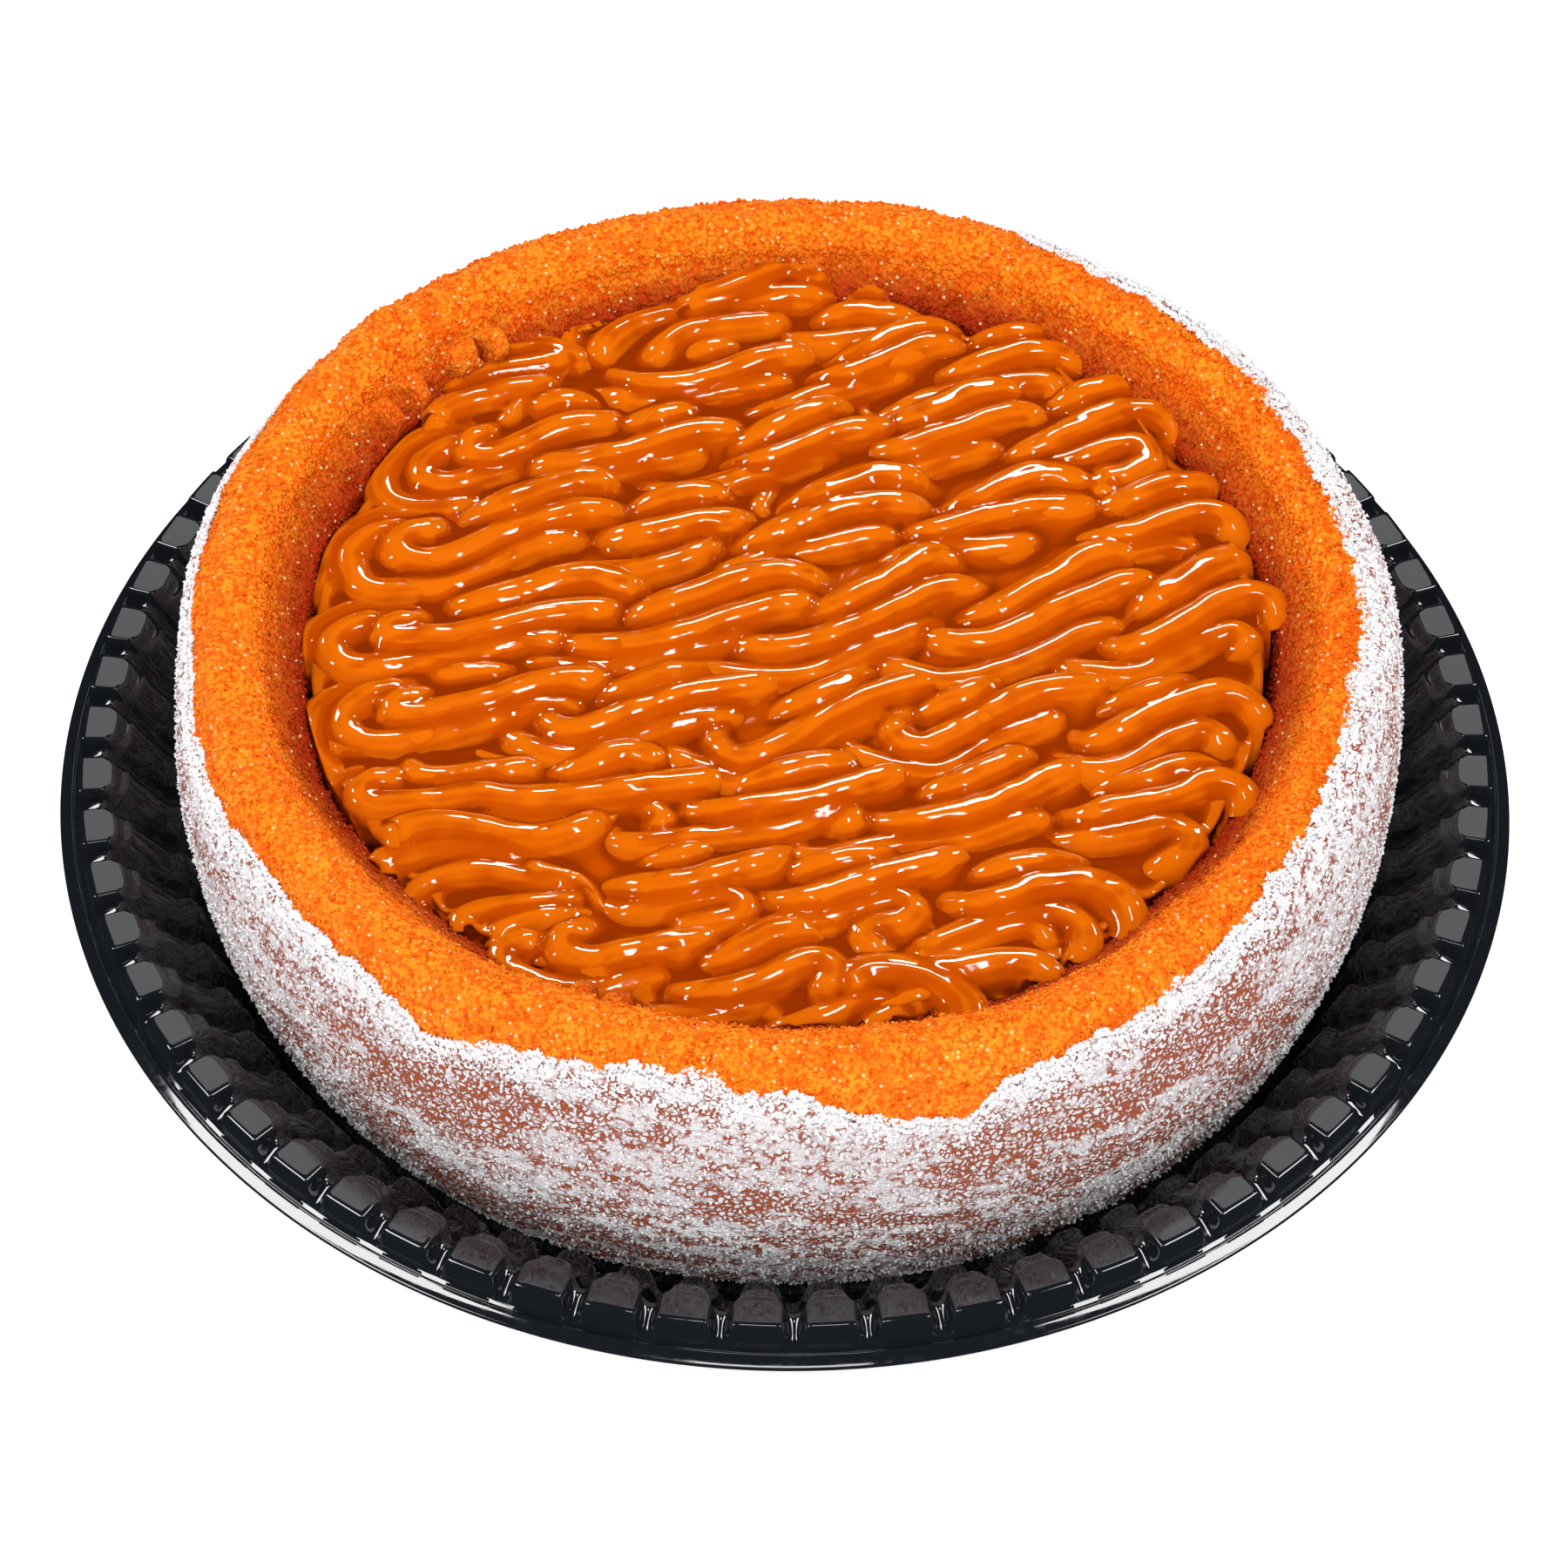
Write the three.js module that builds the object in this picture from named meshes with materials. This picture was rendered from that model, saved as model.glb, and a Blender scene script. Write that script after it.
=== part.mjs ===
// A round churro sponge cake with a piped caramel top, standing on its black plastic plate.
// Units are millimetres, Z is up, and the origin is on the table under the middle of the plate.
import * as THREE from 'three';

// Plate: a thin moulded dish whose rim carries a ring of raised blocks.
const PLATE_RADIUS = 150;
const LIP_HEIGHT = 21;
const PLATE_WALL = 1.2;
const FLOOR_RADIUS = 118.5;
const BLOCK_COUNT = 64;
const BLOCK_SHARE = 0.62; // part of each pitch that is block; the rest is the gap beside it
const BLOCK_PHASE = 0.236; // angle of the first gap from +X, in pitches
const BLOCK_HEIGHT = 7; // above the lip
const BLOCK_OUTER_RADIUS = 146.6;
const BLOCK_INNER_RADIUS = 137.4;
const BEAD_WIDTH = 0.6;
const CHAMFER = 2;
const GAP_DEPTH = 2.6; // of the gap between two blocks, below the block tops
const GAP_INNER_RADIUS = 140.6;
const SHELF_HEIGHT = 14;
const SHELF_RADIUS = 128;
const FLUTE_DEPTH = 1.6; // of the groove that runs down the wall below each gap

// Cake: a barrel-sided sponge with a rounded rim round a well.
const CLEARANCE = 0.3; // left between pieces that touch
const CAKE_FOOT_RADIUS = 117;
const CAKE_BELLY_RADIUS = 124;
const CAKE_BELLY_HEIGHT = 42;
const CAKE_SIDE_STEPS = 5;
const CREST_RADIUS = 113;
const CREST_HEIGHT = 72.5;
const CREST_HALF_WIDTH = 7.5;
const CREST_DROP = 7; // from the top of the rim to where its round ends
const CREST_STEPS = 6;
const WELL_EDGE_RADIUS = 98.5;
const WELL_EDGE_HEIGHT = 59.5;
const WELL_FLOOR_RADIUS = 97;
const WELL_FLOOR_HEIGHT = 43;
const CAKE_SEGMENTS = 80;
const CAKE_WAVES = [[3, 0.5, 0.6], [8, 0.35, 2.1]]; // unevenness: waves per turn, height, phase

// Filling: rows of short overlapping ropes, piped through a star nozzle.
const ROW_COUNT = 9;
const ROW_PITCH = 21.2;
const ROW_STARTS = [0.1, 0.55, 0.3, 0.8, 0.45]; // start of each row's ropes, in rope lengths
const ROPE_LENGTH = 36;
const ROPE_OVERLAP = 0.3; // share of a rope's length that lies under the one before it
const ROPE_HALF_WIDTH = 12.5;
const ROPE_CLIMB = 9; // across its row, from a rope's tail to its head
const ROPE_HEIGHT = 10;
const RIDGES_PER_ROPE = 4;
const RIDGE_DEPTH = 2;
const VALLEY_HEIGHT = 56;
const FILLING_LINES = 62;
const FILLING_COLUMNS = 26;
const EDGE_POWER = 10; // how late the ropes fall away towards the wall of the well

const PLATE_FLOOR_HEIGHT = PLATE_WALL;
const BLOCK_TOP_HEIGHT = LIP_HEIGHT + BLOCK_HEIGHT;
const CAKE_BASE_HEIGHT = PLATE_FLOOR_HEIGHT + CLEARANCE;
const FILLING_RADIUS = WELL_FLOOR_RADIUS - CLEARANCE;
const FILLING_BASE_HEIGHT = WELL_FLOOR_HEIGHT + CLEARANCE;
const TURN = 2 * Math.PI;

/** Collects points and the triangles that join them into one closed skin, facing out. */
class Skin {
  constructor() {
    this.positions = [];
    this.triangles = [];
  }

  point(x, y, z) {
    this.positions.push(x, y, z);
    return this.positions.length / 3 - 1;
  }

  /** A ring of points, counter-clockwise; place(angle, index) gives its radius and height. */
  ring(angles, place) {
    return angles.map((angle, index) => {
      const [radius, height] = place(angle, index);
      return this.point(radius * Math.cos(angle), radius * Math.sin(angle), height);
    });
  }

  /** Joins two rings, of which the second may have a whole number of times as many points. */
  widen(from, to) {
    const share = to.length / from.length;
    const middle = Math.floor(share / 2);
    from.forEach((point, i) => {
      const next = from[(i + 1) % from.length];
      this.triangles.push(point, next, to[i * share + middle]);
      for (let k = 0; k < share; k += 1) {
        const fine = i * share + k;
        this.triangles.push(k < middle ? point : next, to[(fine + 1) % to.length], to[fine]);
      }
    });
  }

  /** Joins two rings, of which the first may have a whole number of times as many points. */
  narrow(from, to) {
    const share = from.length / to.length;
    const middle = Math.floor(share / 2);
    to.forEach((point, i) => {
      const next = to[(i + 1) % to.length];
      this.triangles.push(from[i * share + middle], next, point);
      for (let k = 0; k < share; k += 1) {
        const fine = i * share + k;
        this.triangles.push(from[fine], from[(fine + 1) % from.length], k < middle ? point : next);
      }
    });
  }

  /** Joins a stack of rings into a closed body: out along the underside, back over the top. */
  close(rings, bottomHeight, topHeight) {
    const bottom = this.point(0, 0, bottomHeight);
    const top = this.point(0, 0, topHeight);
    const first = rings[0];
    const last = rings[rings.length - 1];
    first.forEach((point, i) => this.triangles.push(bottom, first[(i + 1) % first.length], point));
    for (let i = 1; i < rings.length; i += 1) {
      if (rings[i].length >= rings[i - 1].length) this.widen(rings[i - 1], rings[i]);
      else this.narrow(rings[i - 1], rings[i]);
    }
    last.forEach((point, i) => this.triangles.push(point, last[(i + 1) % last.length], top));
  }

  geometry() {
    const geometry = new THREE.BufferGeometry();
    geometry.setAttribute('position', new THREE.Float32BufferAttribute(this.positions, 3));
    geometry.setIndex(this.triangles);
    geometry.computeVertexNormals();
    return geometry;
  }
}

function evenAngles(count, phase = 0) {
  return Array.from({ length: count }, (_, i) => ((i + phase) / count) * TURN);
}

/** For each block pitch, the middle of its gap and then the two sides of its block. */
function blockAngles() {
  const shares = [0, (1 - BLOCK_SHARE) / 2, (1 + BLOCK_SHARE) / 2];
  const pitches = Array.from({ length: BLOCK_COUNT }, (_, i) => i);
  return pitches.flatMap((i) => shares.map((s) => ((i + s + BLOCK_PHASE) / BLOCK_COUNT) * TURN));
}

function buildPlate() {
  const skin = new Skin();
  const plain = evenAngles(BLOCK_COUNT, BLOCK_PHASE);
  const fine = blockAngles();
  const even = (radius, height) => skin.ring(plain, () => [radius, height]);
  const blocky = (atBlock, atGap) => skin.ring(fine, (_, i) => (i % 3 === 0 ? atGap : atBlock));
  const hollowTop = BLOCK_TOP_HEIGHT - GAP_DEPTH - PLATE_WALL;
  const gapTop = BLOCK_TOP_HEIGHT - GAP_DEPTH;
  const bead = [BLOCK_OUTER_RADIUS + BEAD_WIDTH, LIP_HEIGHT];

  skin.close([
    // underside, from the foot out to the lip
    even(FLOOR_RADIUS - PLATE_WALL, 0),
    even(SHELF_RADIUS + 2 * PLATE_WALL + FLUTE_DEPTH, SHELF_HEIGHT - FLUTE_DEPTH - PLATE_WALL),
    even(GAP_INNER_RADIUS + PLATE_WALL, hollowTop),
    even(BLOCK_OUTER_RADIUS - 2 * PLATE_WALL, hollowTop),
    even(BLOCK_OUTER_RADIUS - PLATE_WALL, LIP_HEIGHT - PLATE_WALL),
    even(PLATE_RADIUS, LIP_HEIGHT - PLATE_WALL),
    // top, from the lip in over the blocks and down the fluted wall
    even(PLATE_RADIUS, LIP_HEIGHT),
    blocky(bead, bead),
    blocky([BLOCK_OUTER_RADIUS, BLOCK_TOP_HEIGHT], [BLOCK_OUTER_RADIUS, gapTop]),
    blocky([BLOCK_INNER_RADIUS, BLOCK_TOP_HEIGHT], [GAP_INNER_RADIUS, gapTop]),
    blocky(
      [BLOCK_INNER_RADIUS - CHAMFER, BLOCK_TOP_HEIGHT - CHAMFER],
      [GAP_INNER_RADIUS - CHAMFER, gapTop - CHAMFER],
    ),
    blocky(
      [SHELF_RADIUS, SHELF_HEIGHT],
      [SHELF_RADIUS + FLUTE_DEPTH, SHELF_HEIGHT - FLUTE_DEPTH],
    ),
    even(FLOOR_RADIUS, PLATE_FLOOR_HEIGHT),
  ], 0, PLATE_FLOOR_HEIGHT);
  return skin.geometry();
}

/** The outline of the cake's side and rim, from its foot up and over to the floor of the well. */
function cakeOutline() {
  const outline = [[CAKE_FOOT_RADIUS - CHAMFER, CAKE_BASE_HEIGHT]];
  const shoulderHeight = CREST_HEIGHT - CREST_DROP;
  for (let i = 0; i <= CAKE_SIDE_STEPS; i += 1) {
    const footHeight = CAKE_BASE_HEIGHT + CHAMFER;
    const height = footHeight + ((shoulderHeight - footHeight) * i) / (CAKE_SIDE_STEPS + 1);
    const fall = Math.abs((height - CAKE_BELLY_HEIGHT) / (CAKE_BELLY_HEIGHT - footHeight)) ** 2;
    outline.push([CAKE_BELLY_RADIUS - (CAKE_BELLY_RADIUS - CAKE_FOOT_RADIUS) * fall, height]);
  }
  for (let i = 0; i <= CREST_STEPS; i += 1) {
    const angle = (Math.PI * i) / CREST_STEPS;
    const drop = CREST_DROP * (1 - Math.sin(angle));
    outline.push([CREST_RADIUS + CREST_HALF_WIDTH * Math.cos(angle), CREST_HEIGHT - drop]);
  }
  outline.push([WELL_EDGE_RADIUS, WELL_EDGE_HEIGHT], [WELL_FLOOR_RADIUS, WELL_FLOOR_HEIGHT]);
  return outline;
}

function unevenness(angle) {
  const waves = CAKE_WAVES.map(([count, height, phase]) => height * Math.sin(count * angle + phase));
  return waves.reduce((sum, wave) => sum + wave, 0);
}

function buildCake() {
  const skin = new Skin();
  const angles = evenAngles(CAKE_SEGMENTS);
  const rings = cakeOutline().map(([radius, height]) => {
    const isRim = height > WELL_EDGE_HEIGHT;
    return skin.ring(angles, (angle) => [radius, height + (isRim ? unevenness(angle) : 0)]);
  });
  skin.close(rings, CAKE_BASE_HEIGHT, WELL_FLOOR_HEIGHT);
  return skin.geometry();
}

/** Height of one rope above the valleys; along runs from 0 at its tail to 1 at its head. */
function ropeRise(along, across) {
  const bend = THREE.MathUtils.smoothstep(along, 0, 1) - 0.5;
  const offset = (across - ROPE_CLIMB * bend) / ROPE_HALF_WIDTH;
  if (Math.abs(offset) >= 1) return 0;
  const round = Math.sqrt(1 - offset * offset);
  const ends = Math.min(1, 0.55 + along) * Math.sqrt(1 - Math.max(0, along - 0.8) * 4);
  const ridge = Math.abs(Math.cos((RIDGES_PER_ROPE / 2) * Math.PI * offset));
  return ROPE_HEIGHT * round * ends - RIDGE_DEPTH * (1 - ridge);
}

/** Height of the caramel above its valleys, where the highest rope at a point shows. */
function pipedRise(x, y) {
  let rise = 0;
  for (let row = 0; row < ROW_COUNT; row += 1) {
    const across = y - (row - (ROW_COUNT - 1) / 2) * ROW_PITCH;
    const start = ROW_STARTS[row % ROW_STARTS.length];
    const along = x / ROPE_LENGTH + ROW_COUNT + start;
    const tail = (along % 1) * (1 - ROPE_OVERLAP) + ROPE_OVERLAP;
    const under = (along % 1) * (1 - ROPE_OVERLAP);
    rise = Math.max(rise, ropeRise(tail, across), under < ROPE_OVERLAP ? ropeRise(under, across) : 0);
  }
  return rise;
}

function buildFilling() {
  const skin = new Skin();
  const topAt = (x, y) => {
    const edge = 1 - Math.min(1, Math.hypot(x, y) / FILLING_RADIUS) ** EDGE_POWER;
    return VALLEY_HEIGHT + pipedRise(x, y) * edge;
  };
  const lines = [];
  for (let line = 0; line <= FILLING_LINES; line += 1) {
    const y = FILLING_RADIUS * ((2 * line) / FILLING_LINES - 1);
    const halfChord = Math.sqrt(Math.max(0, FILLING_RADIUS ** 2 - y ** 2));
    const columns = line === 0 || line === FILLING_LINES ? 0 : FILLING_COLUMNS;
    const xs = Array.from({ length: columns + 1 }, (_, i) => halfChord * ((2 * i) / (columns || 1) - 1));
    lines.push(columns ? xs.map((x) => skin.point(x, y, topAt(x, y))) : [skin.point(0, y, VALLEY_HEIGHT)]);
  }
  joinLines(skin, lines);
  closeUnder(skin, lines);
  return skin.geometry();
}

/** Fills the top between neighbouring lines; the first and last line are a single point each. */
function joinLines(skin, lines) {
  for (let i = 1; i < lines.length; i += 1) {
    const near = lines[i - 1];
    const far = lines[i];
    for (let k = 0; k < FILLING_COLUMNS; k += 1) {
      if (near.length > 1) skin.triangles.push(near[k], near[k + 1], far[Math.min(k, far.length - 1)]);
      if (far.length > 1) skin.triangles.push(near[Math.min(k + 1, near.length - 1)], far[k + 1], far[k]);
    }
  }
}

/** Drops a wall from the edge of the top to the floor of the well and closes it underneath. */
function closeUnder(skin, lines) {
  const right = lines.map((line) => line[line.length - 1]);
  const left = lines.slice(1, -1).map((line) => line[0]).reverse();
  const edge = [...right, ...left];
  const foot = edge.map((point) => {
    const [x, y] = skin.positions.slice(3 * point, 3 * point + 2);
    return skin.point(x, y, FILLING_BASE_HEIGHT);
  });
  const middle = skin.point(0, 0, FILLING_BASE_HEIGHT);
  edge.forEach((point, i) => {
    const next = (i + 1) % edge.length;
    skin.triangles.push(foot[i], foot[next], edge[next]);
    skin.triangles.push(foot[i], edge[next], point);
    skin.triangles.push(middle, foot[next], foot[i]);
  });
}

function makePart(name, geometry, color, roughness) {
  const material = new THREE.MeshStandardMaterial({ color, roughness, metalness: 0 });
  const mesh = new THREE.Mesh(geometry, material);
  mesh.name = name;
  return mesh;
}

const cakeOnPlate = new THREE.Group();
cakeOnPlate.add(
  makePart('plate', buildPlate(), 0x0c0e10, 0.15),
  makePart('cake', buildCake(), 0xe8852f, 0.9),
  makePart('filling', buildFilling(), 0xb85c0c, 0.2),
);

export default cakeOnPlate;
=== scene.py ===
"""A round churro sponge cake with sugared sides and piped caramel, on its black plastic plate.

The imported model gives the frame: every piece is built in metres round the plate's middle, +Z up.
"""
import logging
import math
from dataclasses import dataclass, field
from enum import Enum
from typing import Callable

import bpy
import numpy as np
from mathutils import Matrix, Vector


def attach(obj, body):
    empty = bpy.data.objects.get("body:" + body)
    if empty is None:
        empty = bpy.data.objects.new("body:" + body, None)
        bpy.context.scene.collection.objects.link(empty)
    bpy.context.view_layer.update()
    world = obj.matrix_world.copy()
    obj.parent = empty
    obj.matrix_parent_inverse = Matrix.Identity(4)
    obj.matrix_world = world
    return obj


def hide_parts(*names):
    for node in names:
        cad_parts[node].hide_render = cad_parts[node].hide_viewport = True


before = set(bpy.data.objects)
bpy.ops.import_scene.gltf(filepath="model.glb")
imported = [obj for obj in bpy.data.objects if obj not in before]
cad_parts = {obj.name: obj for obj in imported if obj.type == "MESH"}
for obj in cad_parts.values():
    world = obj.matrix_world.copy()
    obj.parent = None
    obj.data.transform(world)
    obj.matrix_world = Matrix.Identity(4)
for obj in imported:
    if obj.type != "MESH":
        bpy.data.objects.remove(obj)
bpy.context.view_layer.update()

MM = 0.001
TURN = 2 * math.pi
WELD_GAP = 0.00002
Array = np.ndarray
Colour = tuple[float, float, float, float]
Span = tuple[float, float]
Plan = tuple[tuple[float, float], ...]
Waves = tuple[tuple[float, int, float], ...]
Layers = tuple[tuple[float, float, int], ...]
log = logging.getLogger("cake")


class Slot(Enum):
    """Names of four material slots, which the pieces here are not given."""

    PLATE = "plate_plastic"
    SPONGE = "sponge"
    SUGAR = "sugar"
    CARAMEL = "caramel"


# ---------------------------------------------------------------- numbers that vary over a surface


def smoothstep(low: float, high: float, value: Array) -> Array:
    """A soft step from 0 at low to 1 at high, which may be below low for a step down."""
    share = np.clip((np.asarray(value, float) - low) / (high - low), 0, 1)
    return share * share * (3 - 2 * share)


@dataclass(frozen=True)
class Lumps:
    """Seeded unevenness in space, the same at each run.

    Attributes:
        size: Width of one lump, in metres.
        seed: Which of the endless patterns to use.
        primes: Large primes that mix a cell's place and seed into one number.
        seed_prime: Keeps the patterns of neighbouring seeds apart.
        stir: Multiplier of the second round of mixing.
        word: Mask that keeps the mixed number to 32 bits.
        steps: Mask and count of the steps between 0 and 1.
    """

    size: float
    seed: int = 1
    primes: tuple[int, ...] = (374761393, 668265263, 1440662683, 974634777)
    seed_prime: int = 7919
    stir: int = 1274126177
    word: int = 0xFFFFFFFF
    steps: int = 0xFFFFFF

    def _hash(self, cell: Array, salt: int) -> Array:
        """Mixes a number for each whole-numbered cell.

        Args:
            cell: The cells, one row each.
            salt: Which of a cell's numbers to give.

        Returns:
            A number from 0 to 1 for each cell.
        """
        x, y, z = (cell[..., k].astype(np.int64) * self.primes[k] for k in range(3))
        mixed = x + y + z + (self.seed * self.seed_prime + salt) * self.primes[3]
        mixed = (mixed ^ (mixed >> 13)) & self.word
        mixed = (mixed * self.stir) & self.word
        return ((mixed ^ (mixed >> 16)) & self.steps) / float(self.steps)

    def soft(self, points: Array) -> Array:
        """Rounded lumps and hollows.

        Args:
            points: Where to look, one row each.

        Returns:
            Their height at each point, from -1 to 1.
        """
        place = points / self.size
        cell = np.floor(place)
        share = place - cell
        share = share * share * (3 - 2 * share)
        total = np.zeros(len(points))
        for corner in np.ndindex(2, 2, 2):
            weight = np.prod(np.where(corner, share, 1 - share), axis=1)
            total += weight * self._hash(cell + corner, 0)
        return total * 2 - 1

    def beads(self, points: Array) -> tuple[Array, Array]:
        """Round beads packed side by side.

        Args:
            points: Where to look, one row each.

        Returns:
            The distance to the nearest bead's middle in bead widths, and that bead's own number.
        """
        place = points / self.size
        cell = np.floor(place)
        nearest = np.full(len(points), np.inf)
        number = np.zeros(len(points))
        for step in np.ndindex(3, 3, 3):
            near = cell + np.array(step) - 1
            middle = near + np.stack([self._hash(near, salt) for salt in (1, 2, 3)], 1)
            distance = np.linalg.norm(place - middle, axis=1)
            closer = distance < nearest
            nearest = np.where(closer, distance, nearest)
            number = np.where(closer, self._hash(near, 4), number)
        return nearest, number


def uneven(points: Array, layers: Layers) -> Array:
    """Adds up layers of soft lumps, each with its height, the lumps' width in metres and a seed."""
    return sum(height * Lumps(width, seed).soft(points) for height, width, seed in layers)


def waving(angle: Array, waves: Waves) -> Array:
    """Adds up slow waves round the cake, each with its height, its count in a turn and its phase."""
    return sum(height * np.sin(count * angle + phase) for height, count, phase in waves)


# ---------------------------------------------------------------- work at the bench


def deselect() -> None:
    """Leaves nothing selected."""
    bpy.ops.object.select_all(action="DESELECT")


def pick(piece: bpy.types.Object) -> None:
    """Selects one piece alone and makes it the active one.

    Args:
        piece: The piece to pick.
    """
    deselect()
    piece.select_set(True)
    bpy.context.view_layer.objects.active = piece


def place_points(piece: bpy.types.Object, points: Array) -> None:
    """Moves the points of a piece to where they belong."""
    piece.data.vertices.foreach_set("co", np.ascontiguousarray(points, np.float32).ravel())
    piece.data.update()


def points_of(piece: bpy.types.Object) -> Array:
    """Reads where a piece's points are.

    Args:
        piece: The piece to read.

    Returns:
        Their places, one row each.
    """
    places = np.zeros(len(piece.data.vertices) * 3, np.float32)
    piece.data.vertices.foreach_get("co", places)
    return places.reshape(-1, 3).astype(float)


def lay_sheet(name: str, columns: int, rows: int, drape: Callable[[Array, Array], Array]) -> bpy.types.Object:
    """Lays a flat grid over a surface.

    Args:
        name: Name of the new piece.
        columns: Cells along the first direction.
        rows: Cells along the second.
        drape: Gives the place of each point from its shares, 0 to 1, along both directions.

    Returns:
        The draped sheet, still open where it isn't joined.
    """
    deselect()
    bpy.ops.mesh.primitive_grid_add(x_subdivisions=columns, y_subdivisions=rows, size=1)
    sheet = bpy.context.object
    sheet.name = name
    flat = points_of(sheet) + 0.5
    place_points(sheet, drape(flat[:, 0], flat[:, 1]))
    return sheet


def weld(piece: bpy.types.Object) -> None:
    """Joins points that lie together and turns the faces outward.

    Args:
        piece: What to weld; it stays selected, with all its faces.
    """
    pick(piece)
    bpy.ops.object.mode_set(mode="EDIT")
    bpy.ops.mesh.select_all(action="SELECT")
    bpy.ops.mesh.remove_doubles(threshold=WELD_GAP)
    bpy.ops.mesh.normals_make_consistent(inside=False)
    bpy.ops.object.mode_set(mode="OBJECT")


def bake(piece: bpy.types.Object, kind: str, **settings: object) -> None:
    """Adds a modifier with its settings and applies it.

    Args:
        piece: The piece that it shapes.
        kind: Blender's name for the modifier.
        **settings: Its settings by name.
    """
    pick(piece)
    modifier = piece.modifiers.new(kind.lower(), kind)
    for key, value in settings.items():
        setattr(modifier, key, value)
    bpy.ops.object.modifier_apply(modifier=modifier.name)


def hand_over(
    piece: bpy.types.Object, finish: bpy.types.Material, nodes: tuple[str, ...] = (),
    smooth: bool = True,
) -> bpy.types.Object:
    """Smooths and dresses a finished piece and ties it to the frame.

    Args:
        piece: The finished piece.
        finish: Its material.
        nodes: The CAD nodes that it stands for.
        smooth: Whether its faces blend into one another; crystals stay flat.

    Returns:
        The same piece.
    """
    pick(piece)
    if smooth:
        bpy.ops.object.shade_smooth()
    piece.data.materials.clear()
    piece.data.materials.append(finish)
    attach(piece, "root")
    if nodes:
        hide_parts(*nodes)
    triangles = sum(len(face.vertices) - 2 for face in piece.data.polygons)
    log.info("%s: %d triangles", piece.name, triangles)
    return piece


def scatter(
    name: str, seed_shape: bpy.types.Object, places: Array, sizes: Array, seed: int,
) -> bpy.types.Object:
    """Copies one small shape to many places, each copy turned and scaled, as one mesh.

    Args:
        name: Name of the joined piece.
        seed_shape: The small shape, about 1 across; it is used up.
        places: Middle of each copy.
        sizes: Width of each copy along its own three axes.
        seed: Seed of the turns.

    Returns:
        The joined piece.
    """
    draw = np.random.default_rng(seed)
    quaternion = draw.normal(size=(len(places), 4))
    w, x, y, z = (quaternion / np.linalg.norm(quaternion, axis=1, keepdims=True)).T
    turn = np.stack([
        np.stack([1 - 2 * (y * y + z * z), 2 * (x * y - w * z), 2 * (x * z + w * y)], 1),
        np.stack([2 * (x * y + w * z), 1 - 2 * (x * x + z * z), 2 * (y * z - w * x)], 1),
        np.stack([2 * (x * z - w * y), 2 * (y * z + w * x), 1 - 2 * (x * x + y * y)], 1),
    ], 1)
    corners = points_of(seed_shape)
    faces = np.array([face.vertices[:] for face in seed_shape.data.polygons])
    spread = np.einsum("nij,nkj->nki", turn, corners[None] * sizes[:, None]) + places[:, None]
    links = faces[None] + (np.arange(len(places)) * len(corners))[:, None, None]
    mesh = bpy.data.meshes.new(name)
    mesh.from_pydata(spread.reshape(-1, 3), [], links.reshape(-1, faces.shape[1]))
    bpy.data.objects.remove(seed_shape)
    piece = bpy.data.objects.new(name, mesh)
    bpy.context.scene.collection.objects.link(piece)
    return piece


# ---------------------------------------------------------------- nodes


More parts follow.
